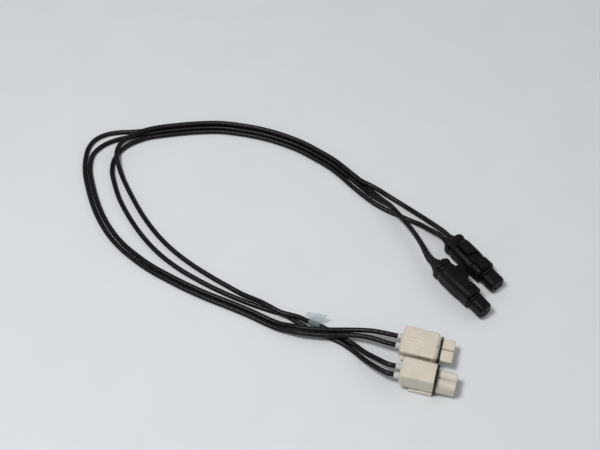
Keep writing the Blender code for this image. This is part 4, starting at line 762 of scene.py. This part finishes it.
def wire_jacket(name):
    """Black wire jacket: drawn streaks along it and the faint helix of the strands under it."""
    material, shader, coords = start_material(name, 0.36)
    shader.inputs["Specular IOR Level"].default_value = 0.2
    tree = material.node_tree
    split = tree.nodes.new("ShaderNodeSeparateXYZ")
    tree.links.new(coords.outputs["UV"], split.inputs["Vector"])
    twist = tree.nodes.new("ShaderNodeMath")
    twist.operation = "MULTIPLY_ADD"
    twist.inputs[1].default_value = 1.0 / 0.021
    tree.links.new(split.outputs["Y"], twist.inputs[0])
    tree.links.new(split.outputs["X"], twist.inputs[2])
    strands = tree.nodes.new("ShaderNodeMath")
    strands.operation = "MULTIPLY"
    strands.inputs[1].default_value = 2 * math.pi * 7
    tree.links.new(twist.outputs["Value"], strands.inputs[0])
    wave = tree.nodes.new("ShaderNodeMath")
    wave.operation = "SINE"
    tree.links.new(strands.outputs["Value"], wave.inputs[0])
    dust = speckle(material, coords.outputs["Object"], 0.004, 5.0)
    tree.links.new(two_tones(material, dust, (0.003, 0.003, 0.005), (0.008, 0.008, 0.011)), shader.inputs["Base Color"])
    tree.links.new(spread(material, dust, 0.30, 0.44), shader.inputs["Roughness"])
    relief(material, shader, wave.outputs["Value"], 0.00002, 0.5)
    return material


def clear_film(name):
    """Clear marker film: milky, slightly blue, with faint handling marks in its gloss."""
    material, shader, coords = start_material(name, 0.2)
    marks = speckle(material, coords.outputs["Object"], 0.002, 6.0)
    links = material.node_tree.links
    links.new(two_tones(material, marks, (0.36, 0.45, 0.50), (0.50, 0.58, 0.62)), shader.inputs["Base Color"])
    links.new(spread(material, marks, 0.12, 0.32), shader.inputs["Roughness"])
    shader.inputs["Alpha"].default_value = 0.18
    return material


def contact_metal(name):
    """Brass contact: fine drawn streaks in tone and gloss."""
    material, shader, coords = start_material(name, 0.3, 1.0)
    streaks = speckle(material, coords.outputs["Object"], 0.0012, 5.0)
    links = material.node_tree.links
    links.new(two_tones(material, streaks, (0.55, 0.38, 0.16), (0.70, 0.52, 0.25)), shader.inputs["Base Color"])
    links.new(spread(material, streaks, 0.22, 0.42), shader.inputs["Roughness"])
    return material


def set_finish(piece, material):
    """Gives a piece its one material."""
    piece.data.materials.clear()
    piece.data.materials.append(material)


def place_camera():
    """Camera at the photograph's elevation and distance, aimed at the middle of the picture."""
    tilt = math.radians(90.0 - CAMERA_ELEVATION)
    camera = bpy.data.cameras.new("photo_camera")
    camera.lens = CAMERA_LENS
    camera.sensor_width = 36.0
    camera.clip_start = 0.01
    made = bpy.data.objects.new("photo_camera", camera)
    back = np.array((0.0, -math.sin(tilt), math.cos(tilt))) * CAMERA_DISTANCE
    made.location = np.array(CAMERA_AIM) + back
    made.rotation_euler = (tilt, 0.0, 0.0)
    bpy.context.collection.objects.link(made)
    bpy.context.scene.camera = made


def lay_floor():
    """Plain pale floor with a barely visible mottle."""
    reach = 1500.0
    corners = np.array([(-reach, -reach, 0.0), (reach, -reach, 0.0), (reach, reach, 0.0), (-reach, reach, 0.0)])
    floor = put_mesh("floor", corners, [(0, 1, 2, 3)])
    material, shader, coords = start_material("pale_floor", 0.6)
    mottle = speckle(material, coords.outputs["Object"], 0.03)
    tone = two_tones(material, mottle, (0.70, 0.72, 0.74), (0.72, 0.74, 0.76))
    material.node_tree.links.new(tone, shader.inputs["Base Color"])
    floor.data.materials.append(material)


def soft_light(name, place, aim, size, power):
    """Square soft light that faces a point."""
    lamp = bpy.data.lights.new(name, "AREA")
    lamp.size = size
    lamp.energy = power
    made = bpy.data.objects.new(name, lamp)
    made.location = place
    toward = np.array(aim) - np.array(place)
    yaw = math.atan2(-toward[0], toward[1])
    pitch = math.atan2(math.hypot(toward[0], toward[1]), -toward[2])
    made.rotation_euler = (pitch, 0.0, yaw)
    bpy.context.collection.objects.link(made)


def light_room():
    """Pale surroundings, a soft main light above and left of the camera and a weak one on the right."""
    world = bpy.data.worlds.new("pale_room")
    world.use_nodes = True
    world.node_tree.nodes["Background"].inputs["Color"].default_value = (0.86, 0.88, 0.90, 1.0)
    world.node_tree.nodes["Background"].inputs["Strength"].default_value = 0.34
    bpy.context.scene.world = world
    soft_light("main_light", (-0.34, -0.14, 0.85), CAMERA_AIM, 0.22, 5.2)
    soft_light("side_light", (0.60, 0.10, 0.60), CAMERA_AIM, 0.6, 0.8)
    bpy.context.scene.view_settings.view_transform = "Standard"


def finishes():
    """All finishes of the set, by the slot names of the record."""
    return {
        "pale_plastic": moulded("pale_plastic", (0.62, 0.56, 0.46), (0.68, 0.62, 0.52), 0.38, 0.5, 0.0004, 0.00001),
        "black_plastic": moulded("black_plastic", (0.002, 0.002, 0.003), (0.005, 0.005, 0.007), 0.42, 0.56, 0.0005, 0.00002, 0.15),
        "black_rubber": moulded("black_rubber", (0.004, 0.004, 0.004), (0.009, 0.008, 0.008), 0.6, 0.75, 0.0003, 0.00001, 0.2),
        "pale_rubber": moulded("pale_rubber", (0.52, 0.53, 0.52), (0.60, 0.60, 0.58), 0.45, 0.6, 0.0004, 0.00001),
        "brass": contact_metal("contact_brass"),
        "wire_jacket": wire_jacket("wire_jacket"),
        "clear_film": clear_film("clear_film"),
    }


def lay_wires(surfaces):
    """The four wires and the flag on one of them, each in place of its solid."""
    lines = {name: smooth_line(route) for name, route in wire_routes().items()}
    film = flag_film(lines["lead2_wire_far"][0])
    set_finish(film, surfaces["clear_film"])
    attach(film, SET_BODY)
    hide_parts("marker_flag")
    for name, (line, length) in lines.items():
        tube = wire_tube(name + "_jacket", line)
        set_finish(tube, surfaces["wire_jacket"])
        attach(tube, SET_BODY)
        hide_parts(name)


def add_piece(piece, node, body, surfaces, slot):
    """A finished piece takes its finish, moves with its body and stands for its solid."""
    set_finish(piece, surfaces[slot])
    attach(piece, body)
    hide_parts(node)


def dress_pale_plugs(surfaces):
    """Housings, wire sleeves and latches of the two pale plugs."""
    for lead, housing in (("lead1", wide_housing()), ("lead2", slim_housing())):
        add_piece(housing, lead + "_white_housing", SET_BODY, surfaces, "pale_plastic")
        latch = lead + "_white_latch"
        add_piece(soft_edged(latch + "_arm", frame["nodes"][latch], 0.25), latch, latch + "_arm", surfaces, "pale_plastic")
    rows = (
        ("lead1", WIDE_PLUG, WIDE_POLE_HALF, WIDE_POLE_HEIGHT, -WIDE_EXIT),
        ("lead2", SLIM_PLUG, SLIM_POLE_HALF, SLIM_POLE_HEIGHT, -SLIM_EXIT),
    )
    for lead, plug, half, height, reach in rows:
        for side, across in (("left", half), ("right", -half)):
            node = f"{lead}_white_wire_seal_{side}"
            add_piece(wire_sleeve(node + "_sleeve", plug, across, height, reach), node, SET_BODY, surfaces, "pale_rubber")


def dress_black_plugs(surfaces):
    """Shells, caps, noses, strain reliefs and levers of the two black plugs."""
    for lead, plug in (("lead1", EDGE_PLUG), ("lead2", FLAT_PLUG)):
        start = lead + "_black_"
        add_piece(black_shell(start + "shell", plug), start + "body", SET_BODY, surfaces, "black_plastic")
        add_piece(black_cap(start + "cap", plug), start + "rear_cap", SET_BODY, surfaces, "black_plastic")
        add_piece(black_nose(start + "front", plug), start + "nose", SET_BODY, surfaces, "black_plastic")
        add_piece(black_grommet(start + "relief", plug), start + "grommet", SET_BODY, surfaces, "black_rubber")
        lever = soft_edged(start + "lever", frame["nodes"][start + "latch"], 0.25)
        add_piece(lever, start + "latch", start + "latch_arm", surfaces, "black_plastic")


def dress_nodes(surfaces):
    """Carried-over solids take the finish that the record names for them."""
    for entry in frame["record"]["subparts"]:
        node = frame["nodes"][entry["node"]]
        if not node.hide_render:
            set_finish(node, surfaces[entry["material_slot"]])


place_camera()
surfaces = finishes()
lay_wires(surfaces)
dress_pale_plugs(surfaces)
dress_black_plugs(surfaces)
dress_nodes(surfaces)
lay_floor()
light_room()
